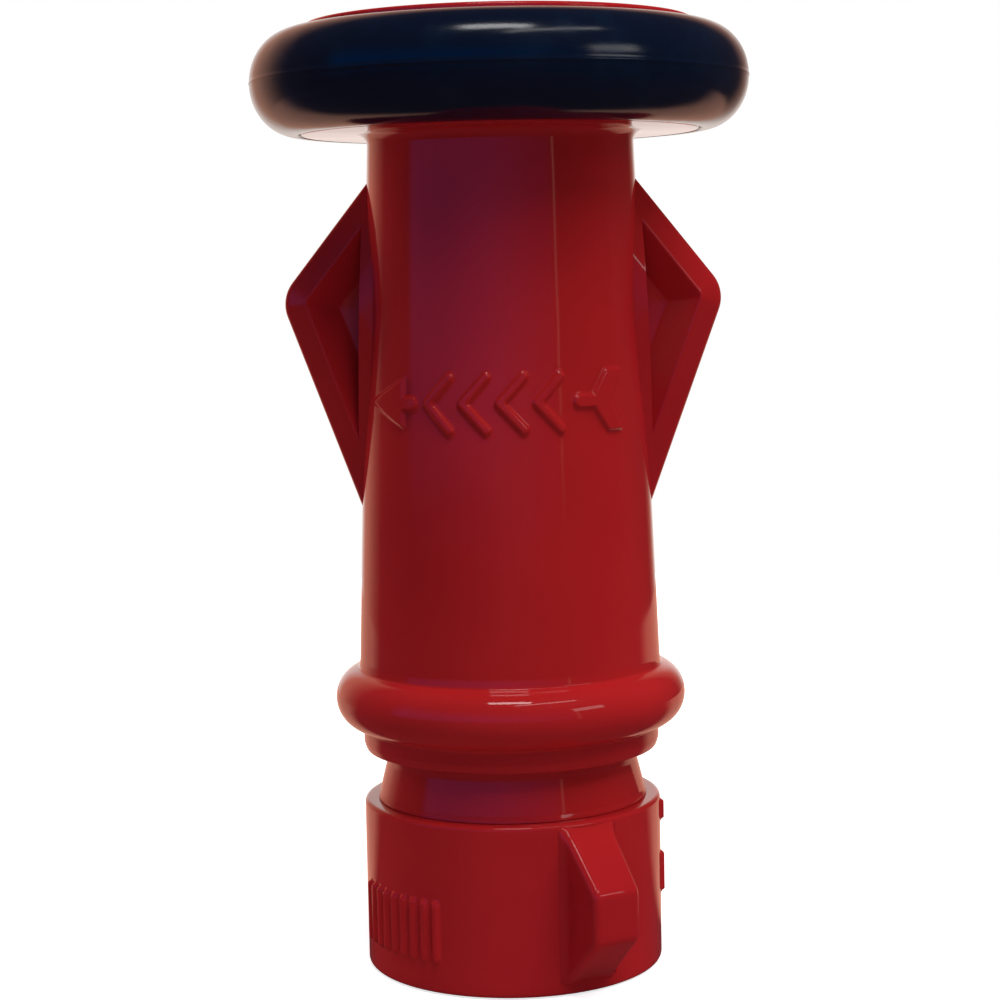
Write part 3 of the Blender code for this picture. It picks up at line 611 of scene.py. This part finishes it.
# %% Sizes of the barrel
SKIRT_RADIUS = 31.0
BEAD_RADIUS = 36.6
BEAD_HALF_HEIGHT = 6.1
BASE_RADIUS = 31.7
NECK_RADIUS = 27.3
FLANGE_RADIUS = 40.9
HUB_RADIUS = 37.0
RIM_RADIUS = 39.9
LIP = 2.7
SLEEVE_RADIUS = 19.5
CUP_RADIUS = 25.8
SEAL_BORE = 25.14
skirt_z, rim_z = foot_of("barrel"), top_of("barrel")
flange_z = foot_of("bumper")
bead_z = skirt_z + 11.0
taper = (NECK_RADIUS - BASE_RADIUS) / (flange_z - bead_z)
tooth_z = foot_of("fog_tooth_ring") - GAP
seat_top, seat_foot = top_of("throat_seat"), foot_of("throat_seat") - GAP
barrel_seal_low = foot_of("barrel_o_ring") - GAP


def grip_radius(z):
    """Radius of the tapered grip: straight from the bead to the flange."""
    return BASE_RADIUS + taper * (z - bead_z)


# %% Raised arrow
MARK_Z = 119.0
MARK_HALF_HEIGHT = 6.05
MARK_STROKE = 1.7
MARK_RELIEF = 0.75
HEAD_TIP, HEAD_BACK, HEAD_HALF = -63.7, -42.9, 5.0      # degrees from the front, and millimetres
CHEVRON_TIPS = (-33.0, -18.5, -4.0, 10.5)
CHEVRON_DEPTH = 5.6
TAIL_FROM, TAIL_FORK, TAIL_TO = 29.5, 36.0, 51.5
mark_scale = math.radians(1.0) * grip_radius(MARK_Z)


def to_segment(u, v, start, end):
    """Distance from points to a straight stroke's middle line."""
    (x0, y0), (x1, y1) = start, end
    t = ((u - x0) * (x1 - x0) + (v - y0) * (y1 - y0)) / ((x1 - x0) ** 2 + (y1 - y0) ** 2)
    t = np.clip(t, 0.0, 1.0)
    return np.hypot(u - x0 - t * (x1 - x0), v - y0 - t * (y1 - y0))


def inside_lines(u, v, *lines):
    """Distance to a convex outline, below zero inside: the largest distance to its lines."""
    out = None
    for (x0, y0), (x1, y1) in lines:
        side = ((u - x0) * (y1 - y0) - (v - y0) * (x1 - x0)) / math.hypot(x1 - x0, y1 - y0)
        out = side if out is None else np.maximum(out, side)
    return out


def mark_distance(front, v):
    """Distance to the nearest edge of the arrow and its chevrons, below zero inside them."""
    u = front * mark_scale
    tip, back = HEAD_TIP * mark_scale, HEAD_BACK * mark_scale
    gap = inside_lines(u, v, ((tip, 0), (back, -HEAD_HALF)), ((back, -HEAD_HALF), (back, HEAD_HALF)),
                       ((back, HEAD_HALF), (tip, 0)))
    gap = np.minimum(gap, to_segment(u, v, (back - 1.0, 0), (back + 2.0, 0)) - 1.3)
    for angle in CHEVRON_TIPS:
        x = angle * mark_scale
        for side in (-1, 1):
            far = (x + CHEVRON_DEPTH, side * (MARK_HALF_HEIGHT - MARK_STROKE / 2))
            gap = np.minimum(gap, to_segment(u, v, (x + MARK_STROKE / 2, 0), far) - MARK_STROKE / 2)
    fork, end = TAIL_FORK * mark_scale, TAIL_TO * mark_scale
    gap = np.minimum(gap, to_segment(u, v, (TAIL_FROM * mark_scale, 0), (fork + 2.0, 0)) - 1.3)
    corners = [(fork, 1.3), (fork, -1.3), (fork + 3.4, -MARK_HALF_HEIGHT), (end, -MARK_HALF_HEIGHT),
               (end, MARK_HALF_HEIGHT), (fork + 3.4, MARK_HALF_HEIGHT)]
    feather = inside_lines(u, v, *zip(corners, corners[1:] + corners[:1]))
    notch = ((u - end + 3.6) * MARK_HALF_HEIGHT / 3.6 - np.abs(v)) * 0.51
    return np.minimum(gap, np.maximum(feather, notch))


BARREL_THREAD_LOW, BARREL_THREAD_HIGH = skirt_z + 15.0, skirt_z + 38.4
BARREL_THREAD_RADIUS = 26.64
barrel_thread = thread(BARREL_LEAD, -THREAD_DEPTH, BARREL_THREAD_LOW, BARREL_THREAD_HIGH, 0.42)


def barrel_relief(a, z, r):
    """The raised arrow outside, and inside the ridge of the coarse thread."""
    front = np.degrees((a + math.pi / 2 + math.pi) % (2 * math.pi) - math.pi)
    near = (np.abs(z - MARK_Z) < 9.0) & (np.abs(r - grip_radius(z)) < 0.05)
    raised = MARK_RELIEF * smooth(0.5 - mark_distance(front, z - MARK_Z) / 0.6)
    inner = np.abs(r - BARREL_THREAD_RADIUS) < 0.01
    return np.where(near, raised, 0.0) + np.where(inner, barrel_thread(a, z, r), 0.0)


# %% Barrel profile
bead = ellipse((SKIRT_RADIUS, bead_z), (BEAD_RADIUS - SKIRT_RADIUS, BEAD_HALF_HEIGHT), -84, 72, 22)
outside = filleted([
    (28.1, skirt_z, 0.5), (SKIRT_RADIUS - 0.5, skirt_z, 0.5), (SKIRT_RADIUS, skirt_z + 1.6, 2.0),
    (SKIRT_RADIUS, bead_z - BEAD_HALF_HEIGHT - 0.5, 0.6), tuple(bead[0]), *[tuple(p) for p in bead[1:]],
    (grip_radius(bead_z + 6.2) + 0.15, bead_z + 6.2, 0.7), (grip_radius(bead_z + 8.0), bead_z + 8.0),
    (NECK_RADIUS, flange_z, 2.2), (FLANGE_RADIUS, flange_z, 0.6), (FLANGE_RADIUS, flange_z + LIP, 0.5),
    (HUB_RADIUS, flange_z + LIP, 0.3), (HUB_RADIUS, rim_z - LIP, 0.3), (RIM_RADIUS, rim_z - LIP, 0.3),
    (RIM_RADIUS, rim_z, 0.7), (HUB_RADIUS, rim_z, 0.7),
])
outside = refined(outside, 0.4, MARK_Z - MARK_HALF_HEIGHT - 1.5, MARK_Z + MARK_HALF_HEIGHT + 1.5)
inside = filleted([
    (HUB_RADIUS - 0.2, rim_z - 0.9), (HUB_RADIUS - 3.4, rim_z - 3.6, 3.0), (CUP_RADIUS, rim_z - 11.0, 1.5),
    (CUP_RADIUS, tooth_z), (SLEEVE_RADIUS, tooth_z, 0.5), (SLEEVE_RADIUS, seat_top), (18.3, seat_top),
    (18.3, seat_foot), (15.5, seat_foot), (SEAL_BORE, seat_foot - 9.6, 1.0),
    (SEAL_BORE, barrel_seal_low + SEAL_GROOVE_WIDTH),
    (SEAL_BORE + SEAL_GROOVE, barrel_seal_low + SEAL_GROOVE_WIDTH),
    (SEAL_BORE + SEAL_GROOVE, barrel_seal_low), (SEAL_BORE, barrel_seal_low),
    (SEAL_BORE, BARREL_THREAD_HIGH + 1.8, 0.4), (BARREL_THREAD_RADIUS, BARREL_THREAD_HIGH, 0.4),
    (BARREL_THREAD_RADIUS, BARREL_THREAD_LOW - 0.5, 0.3), (28.1, skirt_z + 14.2, 0.5),
])
inside = refined(inside, 0.8, BARREL_THREAD_LOW, BARREL_THREAD_HIGH)
barrel_profile = np.concatenate([outside, inside])
barrel_angles = circle_with_detail(2.5, [(HEAD_TIP - 91.0, TAIL_TO - 88.0, 0.42)])
print("barrel profile", len(barrel_profile), "points, angles", len(barrel_angles))

# %% [markdown]
# ## The wings
# Two hollow wings turn the barrel by hand. Each is a pillow with a hipped roof: thin along its edges and
# thicker inwards, with a sunk pocket on the front and on the back. Its surface is a grid. One parameter is
# the inset from the edge, which gives the thickness, and the other runs along the edge's outline, down the
# upper edge, round the corner and back along the lower one. Inside the pocket's wall the roof carries on
# into the grip, and ends inside its wall.

# %% Outline of a wing
WING_TIP = np.array((45.9, flange_z - 33.0))      # where the two edges would cross
WING_CORNER = 9.0
WING_EDGE = 3.0             # half the thickness along the edges
WING_FLARE = 0.70           # gain of half the thickness per millimetre of inset
EASE_FROM, EASE_LENGTH = 7.5, 8.0     # insets over which that gain falls to nothing
WING_RIM = 4.6
WING_DRAFT = 6.0
WING_WEB = 1.5
POCKET_GAP = 0.6
ROOT_DEPTH = 1.5            # how far the wing runs into the grip's wall


def towards_grip(z):
    """Unit vector in the (radius, height) plane from the wing's tip to the grip at a height."""
    way = np.array((grip_radius(z), z)) - WING_TIP
    return way / np.linalg.norm(way)


wing_up, wing_down = towards_grip(flange_z - 9.9), towards_grip(flange_z - 76.0)
wing_in = (wing_up + wing_down) / np.linalg.norm(wing_up + wing_down)
wing_sine = math.sqrt((1 - wing_up @ wing_down) / 2)


def to_reach(points, way, reach):
    """Slide points along a direction until they are `reach` outside the grip's side."""
    along = (grip_radius(points[:, 1]) + reach - points[:, 0]) / (way[0] - taper * way[1])
    return points + along[:, None] * way


def tips(inset):
    """Crossing point of the two edge lines at each inset."""
    return WING_TIP + inset[:, None] * wing_in / wing_sine


deepest = float(np.linalg.norm(to_reach(WING_TIP[None], wing_in, POCKET_GAP)[0] - WING_TIP) * wing_sine)


def outline_at(inset):
    """Points along the outline at each inset: upper edge, corner arc, lower edge.

    The arc's radius is corner - 1.5 inset, at least 0.3, and at most half of what is left to the root.
    """
    tip = tips(inset)
    room = 0.5 * (deepest - inset).clip(0)
    corner = np.minimum(np.maximum(WING_CORNER - 1.5 * inset, 0.3), room)[:, None]
    centre = tip + corner * wing_in / wing_sine
    start = math.atan2(-wing_up[0], wing_up[1])
    end = math.atan2(wing_down[0], -wing_down[1])
    a = np.linspace(start, end, 13)
    arc = centre[:, None, :] + corner[:, None] * np.stack([np.cos(a), np.sin(a)], -1)[None]
    t = np.linspace(0.0, 1.0, 25)[None, :-1, None]
    upper = to_reach(tip, wing_up, POCKET_GAP)[:, None] * (1 - t) + arc[:, :1] * t
    lower = to_reach(tip, wing_down, POCKET_GAP)[:, None] * (1 - t) + arc[:, -1:] * t
    return np.concatenate([upper, arc, lower[:, ::-1]], 1)


# %% Surfaces of a wing
rim_height = WING_EDGE + WING_FLARE * WING_RIM
roof = filleted([(0.0, 0.0), (0.0, WING_EDGE, 1.9), (WING_RIM, rim_height)])
pocket = filleted([tuple(roof[-2]), (WING_RIM, rim_height, 0.55), (WING_RIM + WING_DRAFT, WING_WEB, 1.0),
                   (deepest, WING_WEB)])
floor_rows = [(deepest * 0.8 + 2.0, WING_WEB), (deepest, WING_WEB)]
section = np.concatenate([roof[:-1], pocket[1:-1], floor_rows])


def slope_height(inset):
    """Half the wing's thickness on its slopes: straight, then easing off by the square of the inset."""
    eased = np.clip(inset - EASE_FROM, 0.0, EASE_LENGTH)
    rise = np.minimum(inset, EASE_FROM + EASE_LENGTH) - eased ** 2 / (2 * EASE_LENGTH)
    return WING_EDGE + WING_FLARE * rise


def roof_height(inset):
    """Half the wing's thickness without its pocket: the rounded edge, then the slope."""
    height = slope_height(inset)
    first = len(roof) - 1
    height[:first] = roof[:first, 1]
    return height


def into_wall(start, way, height):
    """Slide points along a direction until they are ROOT_DEPTH under the grip, by repeated correction."""
    z = start[:, 1]
    for _ in range(8):
        x = np.sqrt(np.maximum((grip_radius(z) - ROOT_DEPTH) ** 2 - height ** 2, 0.0))
        z = start[:, 1] + (x - start[:, 0]) * way[1] / way[0]
    return np.stack([x, z], -1)


def ridge_end():
    """Inset where the roof's ridge is ROOT_DEPTH under the grip's surface."""
    inset = np.linspace(deepest, deepest + 12.0, 2000)
    ridge = tips(inset)
    under = np.hypot(ridge[:, 0], slope_height(inset)) - (grip_radius(ridge[:, 1]) - ROOT_DEPTH)
    return float(inset[np.argmin(np.abs(under))])


def wing_patches():
    """All patches of the wing on +X: pocket side, pocket's inner wall, roof strip and hidden root."""
    inset = section[:, 0]
    face = outline_at(inset)
    face3 = np.stack([face[..., 0], np.broadcast_to(-section[:, 1:], face.shape[:2]), face[..., 1]], -1)
    further = np.linspace(deepest, ridge_end(), 9)[1:]
    all_insets = np.concatenate([inset, further])
    height = roof_height(all_insets)
    front = [face3]
    root = []
    for way, column in ((wing_up, 0), (wing_down, -1)):
        wall = np.linspace(section[:, 1], height[:len(inset)], 5)
        edge_line = face[:, column]
        wall3 = np.stack([np.broadcast_to(edge_line[:, 0], wall.shape), -wall,
                          np.broadcast_to(edge_line[:, 1], wall.shape)], -1)
        start = np.concatenate([edge_line, tips(further)])
        end = into_wall(start, way, height)
        end[-1] = start[-1]
        t = np.linspace(0.0, 1.0, 9)[None, :, None]
        strip = start[:, None] * (1 - t) + end[:, None] * t
        strip3 = np.stack([strip[..., 0], np.broadcast_to(-height[:, None], strip.shape[:2]),
                           strip[..., 1]], -1)
        front += [wall3, strip3]
        reach = np.hypot(end[:, 0], height)
        spread = np.arctan2(height, end[:, 0])[:, None] * np.linspace(-1.0, 1.0, 17)[None]
        root.append(np.stack([reach[:, None] * np.cos(spread), reach[:, None] * np.sin(spread),
                              np.broadcast_to(end[:, 1:], spread.shape)], -1))
    back = [patch * np.array((1.0, -1.0, 1.0)) for patch in front]
    return front + back + root


# %% Barrel with its wings
right_wing = wing_patches()
barrel = skin("barrel_moulding", [
    around(barrel_profile, barrel_angles, barrel_relief),
    *[(patch, False) for patch in right_wing],
    *[(spun_to(patch, math.pi), False) for patch in right_wing],
], sharp=50.0)
place(barrel, "barrel", "red_plastic", red_plastic, "barrel")

# %% [markdown]
# ## The bumper
# A ring of black rubber guards the mouth. Its section is oval outside, and inside it has two lips and a
# groove that grip the head. The two halves of its mould leave a thin line round its middle.

# %% Bumper
bumper_low, bumper_top = foot_of("bumper"), top_of("bumper")
bumper_middle = (bumper_low + bumper_top) / 2
BUMPER_BULGE = 9.2
bumper_centre = (radius_of("bumper") - BUMPER_BULGE, bumper_middle)
oval = (BUMPER_BULGE, (bumper_top - bumper_low) / 2)
line = radius_of("bumper")
bumper_profile = np.concatenate([
    [(HUB_RADIUS + GAP, flange_z + LIP + GAP), (FLANGE_RADIUS + GAP, flange_z + LIP + GAP),
     (FLANGE_RADIUS + GAP, bumper_low + 0.4)],
    ellipse(bumper_centre, oval, -92, -2, 30),
    [(line + 0.08, bumper_middle - 0.2), (line + 0.13, bumper_middle), (line + 0.08, bumper_middle + 0.2)],
    ellipse(bumper_centre, oval, 2, 95, 30),
    [(RIM_RADIUS + GAP, bumper_top - 0.3), (RIM_RADIUS + GAP, rim_z - LIP - GAP),
     (HUB_RADIUS + GAP, rim_z - LIP - GAP)],
])
bumper = skin("rubber_bumper", [around(bumper_profile, full_circle(180))], sharp=45.0)
place(bumper, "barrel", "bumper_rubber", bumper_rubber, "bumper")

# %% [markdown]
# ## The mouth and what shuts it
# A ring of teeth in the cup breaks the water's edge into fog. The throat is a brass ring in the barrel, and
# the baffle closes it: a rubber disc held between a brass stem and a brass head by one screw. The stem is
# carried by a spider in the tube, with a nut behind it.

# %% Fog teeth
TEETH = 20
TOOTH_BASE = 3.0
tooth_foot, tooth_top = foot_of("fog_tooth_ring"), top_of("fog_tooth_ring")


def tooth_lift(a, z, r):
    """Height of the teeth: a smooth block over the first half of each pitch, on the ring's top only."""
    phase = (a * TEETH / (2 * math.pi)) % 1.0
    block = smooth(phase / 0.07) * smooth((0.5 - phase) / 0.07)
    rise = tooth_top - tooth_foot - TOOTH_BASE
    return np.where(z > tooth_foot + TOOTH_BASE - 0.05, rise * block, 0.0)


tooth_profile = refined(filleted([
    (20.2, tooth_foot), (radius_of("fog_tooth_ring"), tooth_foot),
    (radius_of("fog_tooth_ring"), tooth_foot + TOOTH_BASE, 0.3), (20.2, tooth_foot + TOOTH_BASE, 0.3)],
    closed=True), 1.2, tooth_foot, tooth_top)
teeth = skin("fog_teeth", [around(tooth_profile, full_circle(TEETH * 28), lift=tooth_lift)], sharp=40.0)
place(teeth, "barrel", "black_plastic", black_plastic, "fog_tooth_ring")

# %% Throat, seal and head of the baffle
throat = skin("throat_ring", [around(filleted([
    (15.5, foot_of("throat_seat"), 0.2), (18.0, foot_of("throat_seat"), 0.2), (18.0, seat_top, 0.3),
    (14.3, seat_top, 0.4), (14.3, seat_top - 4.6, 1.5)], closed=True), full_circle(120))])
place(throat, "barrel", "brass", brass, "throat_seat")
seal = skin("seal_disc", [around(ring_profile(
    4.9, radius_of("baffle_seal"), foot_of("baffle_seal"), top_of("baffle_seal"), 0.35), full_circle(120))])
place(seal, "body", "seal_rubber", seal_rubber, "baffle_seal")
head_low, head_top = foot_of("baffle_head"), top_of("baffle_head")
head_radius = radius_of("baffle_head")
head = skin("deflecting_head", [around(filleted([
    (4.9, head_low), (head_radius - 1.2, head_low, 0.4), (head_radius, head_low + 0.8, 0.4),
    (head_radius, head_low + 2.2, 0.7), (13.6, head_low + 3.4, 1.2), (13.0, head_low + 3.4, 0.2),
    (9.6, head_top - 2.4, 1.5), (6.9, head_top, 0.6), (4.9, head_top, 0.3)], closed=True), full_circle(120))])
place(head, "body", "brass", brass, "baffle_head")


# %% Screw with a hexagon socket and a knurled head
def hexagon(a, flats):
    """Radius of a hexagon at an angle: half its flats over the cosine of the angle from the nearest flat."""
    return flats / 2 / np.cos((a + math.pi / 6) % (math.pi / 3) - math.pi / 6)


SOCKET_FLATS = 4.0
SCREW_HEAD = 5.2
screw_low, screw_top = foot_of("baffle_screw"), top_of("baffle_screw")
head_foot = screw_top - 3.2
socket_foot = head_foot + 3.2 / 3


def screw_relief(a, z, r):
    """Knurling on the head's side, and a hexagon where the profile marks the socket by its flats."""
    socket = np.abs(r - SOCKET_FLATS / 2) < 0.001
    knurl = np.abs(r - SCREW_HEAD) < 0.01
    groove = 0.12 * (np.cos(a * 48) + 1) / 2
    return np.where(socket, hexagon(a, SOCKET_FLATS) - r, 0.0) - np.where(knurl, groove, 0.0)


screw_profile = np.array([
    (0.0, screw_low), (1.9, screw_low), (2.4, screw_low + 0.5), (2.4, head_foot), (4.9, head_foot),
    (SCREW_HEAD, head_foot + 0.3), (SCREW_HEAD, screw_top - 0.7), (4.95, screw_top - 0.2), (4.7, screw_top),
    (2.45, screw_top), (SOCKET_FLATS / 2, screw_top - 0.15), (SOCKET_FLATS / 2, socket_foot),
    (0.0, socket_foot - 0.3)])
screw = skin("cap_screw", [around(screw_profile, full_circle(288), screw_relief, closed=False)], sharp=30.0)
place(screw, "body", "steel", steel, "baffle_screw")


# %% Washers and nut
def washer(name, node, hole):
    """A flat ring with broken edges."""
    profile = ring_profile(hole, radius_of(node), foot_of(node), top_of(node), 0.15)
    return place(skin(name, [around(profile, full_circle(72))]), "body", "steel", steel, node)


washer("lock_washer", "screw_washer", 2.7)
washer("spider_washer", "stem_washer", 3.3)
NUT_FLATS = 10.0
nut_low, nut_top = foot_of("stem_nut"), top_of("stem_nut")


def nut_relief(a, z, r):
    """The nut's flats, cut back at both ends by a 30 degree cone: the smaller of the two radii."""
    near_end = np.minimum(z - nut_low, nut_top - z)
    cone = NUT_FLATS / 2 + 0.1 + near_end * math.sqrt(3.0)
    return np.where(r > 4.5, np.minimum(hexagon(a, NUT_FLATS), cone) - r, 0.0)


nut_corners = np.array([(3.3, nut_low), (NUT_FLATS / 2, nut_low), (NUT_FLATS / 2, nut_top), (3.3, nut_top)])
nut_profile = refined(nut_corners, 0.2, nut_low, nut_top)
nut = skin("nut", [around(nut_profile, full_circle(144), nut_relief)], sharp=25.0)
place(nut, "body", "steel", steel, "stem_nut")

# %% Stem
SCREW_HOLE = 14.3
stem_low, stem_top = foot_of("baffle_stem"), top_of("baffle_stem")
flare_top = foot_of("baffle_seal") - GAP
collar = spider_top + GAP
stem = skin("stem", [around(filleted([
    (0.0, stem_low), (3.0, stem_low, 0.5), (3.0, collar), (5.4, collar, 0.3), (5.4, collar + 2.0, 0.4),
    (4.0, collar + 2.0, 0.6), (4.0, flare_top - 8.0, 8.0), (9.0, flare_top - 1.0, 0.4), (9.0, flare_top, 0.2),
    (4.6, flare_top, 0.2), (4.6, stem_top, 0.3), (2.7, stem_top, 0.2), (2.7, stem_top - SCREW_HOLE),
    (0.0, stem_top - SCREW_HOLE),
]), full_circle(96), closed=False)])
place(stem, "body", "brass", brass, "baffle_stem")

# %% Spider
VANES = 4
spider_low = foot_of("spider")
SPIDER_OUTER = TUBE_BORE - GAP


def vane(angle):
    """A straight rib with rounded front and back edges, from inside the hub to inside the ring."""
    t = np.linspace(0, 2 * math.pi, 33)[:-1]
    side = 1.2 * np.cos(t)
    middle = (spider_low + spider_top) / 2
    up = middle + np.sign(np.sin(t)) * (spider_top - spider_low - 4.4) / 2 + 2.0 * np.sin(t)
    loop = np.stack([0 * t, side, up], -1)
    core = np.broadcast_to(np.array((0.0, 0.0, middle)), loop.shape)
    root, tip = np.array((4.5, 0.0, 0.0)), np.array((SPIDER_OUTER - 1.2, 0.0, 0.0))
    return spun_to(np.stack([core + root, loop + root, loop + tip, core + tip]), angle), True


hub = filleted([(3.3, spider_low, 0.3), (4.6, spider_low, 0.3), (5.6, spider_low + 1.2, 1.2),
                (5.6, spider_top - 1.2, 1.2), (4.6, spider_top, 0.3), (3.3, spider_top, 0.3)], closed=True)
spider = skin("spider_casting", [
    around(ring_profile(SPIDER_OUTER - 2.3, SPIDER_OUTER, spider_low, spider_top, 0.6), full_circle(120)),
    around(hub, full_circle(72)),
    *[vane(2 * math.pi * k / VANES) for k in range(VANES)],
])
place(spider, "body", "brass", brass, "spider")

# %% [markdown]
# ## Floor and light
# The camera sees a white floor and a white background. What the nozzle reflects is darker: a wall behind it,
# warm at its sides, which only the last edge of each round surface picks up, a cool panel at the front left,
# and a bright gap beside that panel, which draws the thin line down the grip. Four large soft lights give the
# plain light on the red and are kept out of its reflections, as a photographer does with screens. Three small
# ones are there to be reflected, as the highlights on the bumper and the bead.

# %% Floor
WALL = (1.1, 0.95, 0.88, 1.0)
WALL_SIDE = (0.90, 0.44, 0.30, 1.0)
DARK = (0.05, 0.03, 0.03, 1.0)
FLOOR_SEEN = (0.9, 0.9, 0.9, 1.0)
FLOOR_MIRRORED = (0.01, 0.01, 0.02, 1.0)
FLOOR_NEAR, FLOOR_FAR = (0.60, 0.57, 0.54, 1.0), (0.22, 0.21, 0.20, 1.0)      # for the light it throws back
FLOOR_RADIUS = 0.6          # metres


def plain_floor():
    """A round pale sheet just under the nozzle, which fades to plain white at its rim."""
    a = full_circle(96)
    rim = np.stack([np.cos(a) * FLOOR_RADIUS, np.sin(a) * FLOOR_RADIUS, 0 * a - 0.0003], -1)
    mesh = bpy.data.meshes.new("floor")
    mesh.from_pydata(rim.tolist(), [], [list(range(len(a)))])
    floor = bpy.data.objects.new("floor", mesh)
    bpy.context.scene.collection.objects.link(floor)
    paper, tree, shader = finish("floor_paper", {"Roughness": 0.9, "Specular IOR Level": 0.0})
    rays = add_node(tree, "LightPath")
    where = add_node(tree, "TexCoord").outputs["Object"]
    outward = add_node(tree, "VectorMath", {0: where}, operation="NORMALIZE").outputs["Vector"]
    behind = add_node(tree, "SeparateXYZ", {0: outward}).outputs["Y"]
    mirrored = blend_colour(tree, band(tree, behind, 0.42, 0.60), DARK, WALL_SIDE)
    away = add_node(tree, "VectorMath", {0: where}, operation="LENGTH").outputs["Value"]
    glow = band(tree, away, 0.06, FLOOR_RADIUS * 0.9, 0.75, 1.0)
    white = add_node(tree, "CombineColor", {0: glow, 1: glow, 2: glow}).outputs[0]
    seen = blend_colour(tree, rays.outputs["Is Camera Ray"], mirrored, white)
    tree.links.new(seen, shader.inputs["Emission Color"])
    plain = add_node(tree, "Math", {0: rays.outputs["Is Camera Ray"], 1: rays.outputs["Is Glossy Ray"]},
                     operation="MAXIMUM").outputs[0]
    tree.links.new(plain, shader.inputs["Emission Strength"])
    near = band(tree, away, 0.05, 0.22)
    bounced = blend_colour(tree, near, FLOOR_NEAR, FLOOR_FAR)
    bounced = blend_colour(tree, rays.outputs["Is Glossy Ray"], bounced, FLOOR_MIRRORED)
    pale = blend_colour(tree, rays.outputs["Is Camera Ray"], bounced, FLOOR_SEEN)
    tree.links.new(pale, shader.inputs["Base Color"])
    mesh.materials.append(paper)


plain_floor()

# %% Room
PANEL = (0.01, 0.09, 0.36, 1.0)
GAP_IN_PANELS = (0.9, 0.5, 0.4, 1.0)


def product(tree, *values):
    """Multiply masks together."""
    out = values[0]
    for value in values[1:]:
        out = add_node(tree, "Math", {0: out, 1: value}, operation="MULTIPLY").outputs[0]
    return out


def between(tree, value, low, high, soft):
    """A mask that is 1 from low to high and fades over `soft` outside."""
    return product(tree, band(tree, value, low - soft, low), band(tree, value, high, high + soft, 1.0, 0.0))


def light_room():
    """Dark room, white wall behind, cool panel at the front left, and the bright gap at its edge."""
    world = bpy.data.worlds.new("room")
    bpy.context.scene.world = world
    world.use_nodes = True
    tree = world.node_tree
    tree.nodes.clear()
    way = add_node(tree, "TexCoord").outputs["Generated"]
    parts = add_node(tree, "SeparateXYZ", {0: way})
    ahead = add_node(tree, "Math", {0: parts.outputs["Y"], 1: -1.0}, operation="MULTIPLY").outputs[0]
    azimuth = add_node(tree, "Math", {0: parts.outputs["X"], 1: ahead}, operation="ARCTAN2").outputs[0]
    low_edge = band(tree, parts.outputs["Z"], -0.06, 0.03)
    high = product(tree, low_edge, band(tree, parts.outputs["Z"], 0.25, 0.6, 1.0, 0.0))
    fading = band(tree, azimuth, -0.25, 0.55, 1.0, 0.35)
    panel = product(tree, between(tree, azimuth, -1.38, 0.66, 0.12), high, fading)
    slit = product(tree, between(tree, azimuth, 0.77, 0.785, 0.015), high)
    colour = blend_colour(tree, panel, DARK, PANEL)
    colour = blend_colour(tree, slit, colour, GAP_IN_PANELS)
    wall = blend_colour(tree, band(tree, parts.outputs["Y"], 0.88, 0.96), WALL_SIDE, WALL)
    aside = add_node(tree, "Math", {0: parts.outputs["X"], 1: 0.22}, operation="MULTIPLY").outputs[0]
    behind = add_node(tree, "Math", {0: parts.outputs["Y"], 1: aside}, operation="SUBTRACT").outputs[0]
    colour = blend_colour(tree, band(tree, behind, 0.66, 0.92), colour, wall)
    room = add_node(tree, "Background", {"Color": colour, "Strength": 1.0})
    backdrop = add_node(tree, "Background", {"Color": (1.0, 1.0, 1.0, 1.0), "Strength": 1.0})
    seen = add_node(tree, "LightPath").outputs["Is Camera Ray"]
    mix = add_node(tree, "MixShader", {0: seen, 1: room.outputs[0], 2: backdrop.outputs[0]})
    tree.links.new(mix.outputs[0], tree.nodes.new("ShaderNodeOutputWorld").inputs["Surface"])


light_room()


# %% Soft lights
def soft_light(name, azimuth, elevation, size, power, reflected):
    """A rectangular light 1 m away, at an azimuth from the front towards +X and an elevation, in degrees."""
    light = bpy.data.lights.new(name, "AREA")
    light.shape = "RECTANGLE"
    light.size, light.size_y = size
    light.energy = power
    lamp = bpy.data.objects.new(name, light)
    a, e = math.radians(azimuth), math.radians(elevation)
    way = Vector((math.sin(a) * math.cos(e), -math.cos(a) * math.cos(e), math.sin(e)))
    lamp.location = way + Vector((0.0, 0.0, 0.1))
    lamp.rotation_euler = way.to_track_quat("Z", "Y").to_euler()
    lamp.visible_camera = False
    lamp.visible_glossy = reflected
    bpy.context.scene.collection.objects.link(lamp)


SOFT_LIGHTS = (      # name, azimuth, elevation, size, power, reflected
    ("high_light", 38, 60, (0.8, 0.8), 7.4, False),
    ("left_light", -122, 10, (0.5, 0.9), 6.5, False),
    ("right_light", 112, 10, (0.4, 0.9), 3.5, False),
    ("front_light", 5, -3, (0.6, 0.3), 0.9, False),
    ("top_highlight", -2, 69, (0.36, 0.15), 1.2, True),
    ("long_highlight", 35, 60, (0.6, 0.06), 0.35, True),
    ("side_highlight", 54, 26, (0.36, 0.16), 0.34, True),
)
for settings in SOFT_LIGHTS:
    soft_light(*settings)
bpy.context.scene.view_settings.view_transform = "Standard"
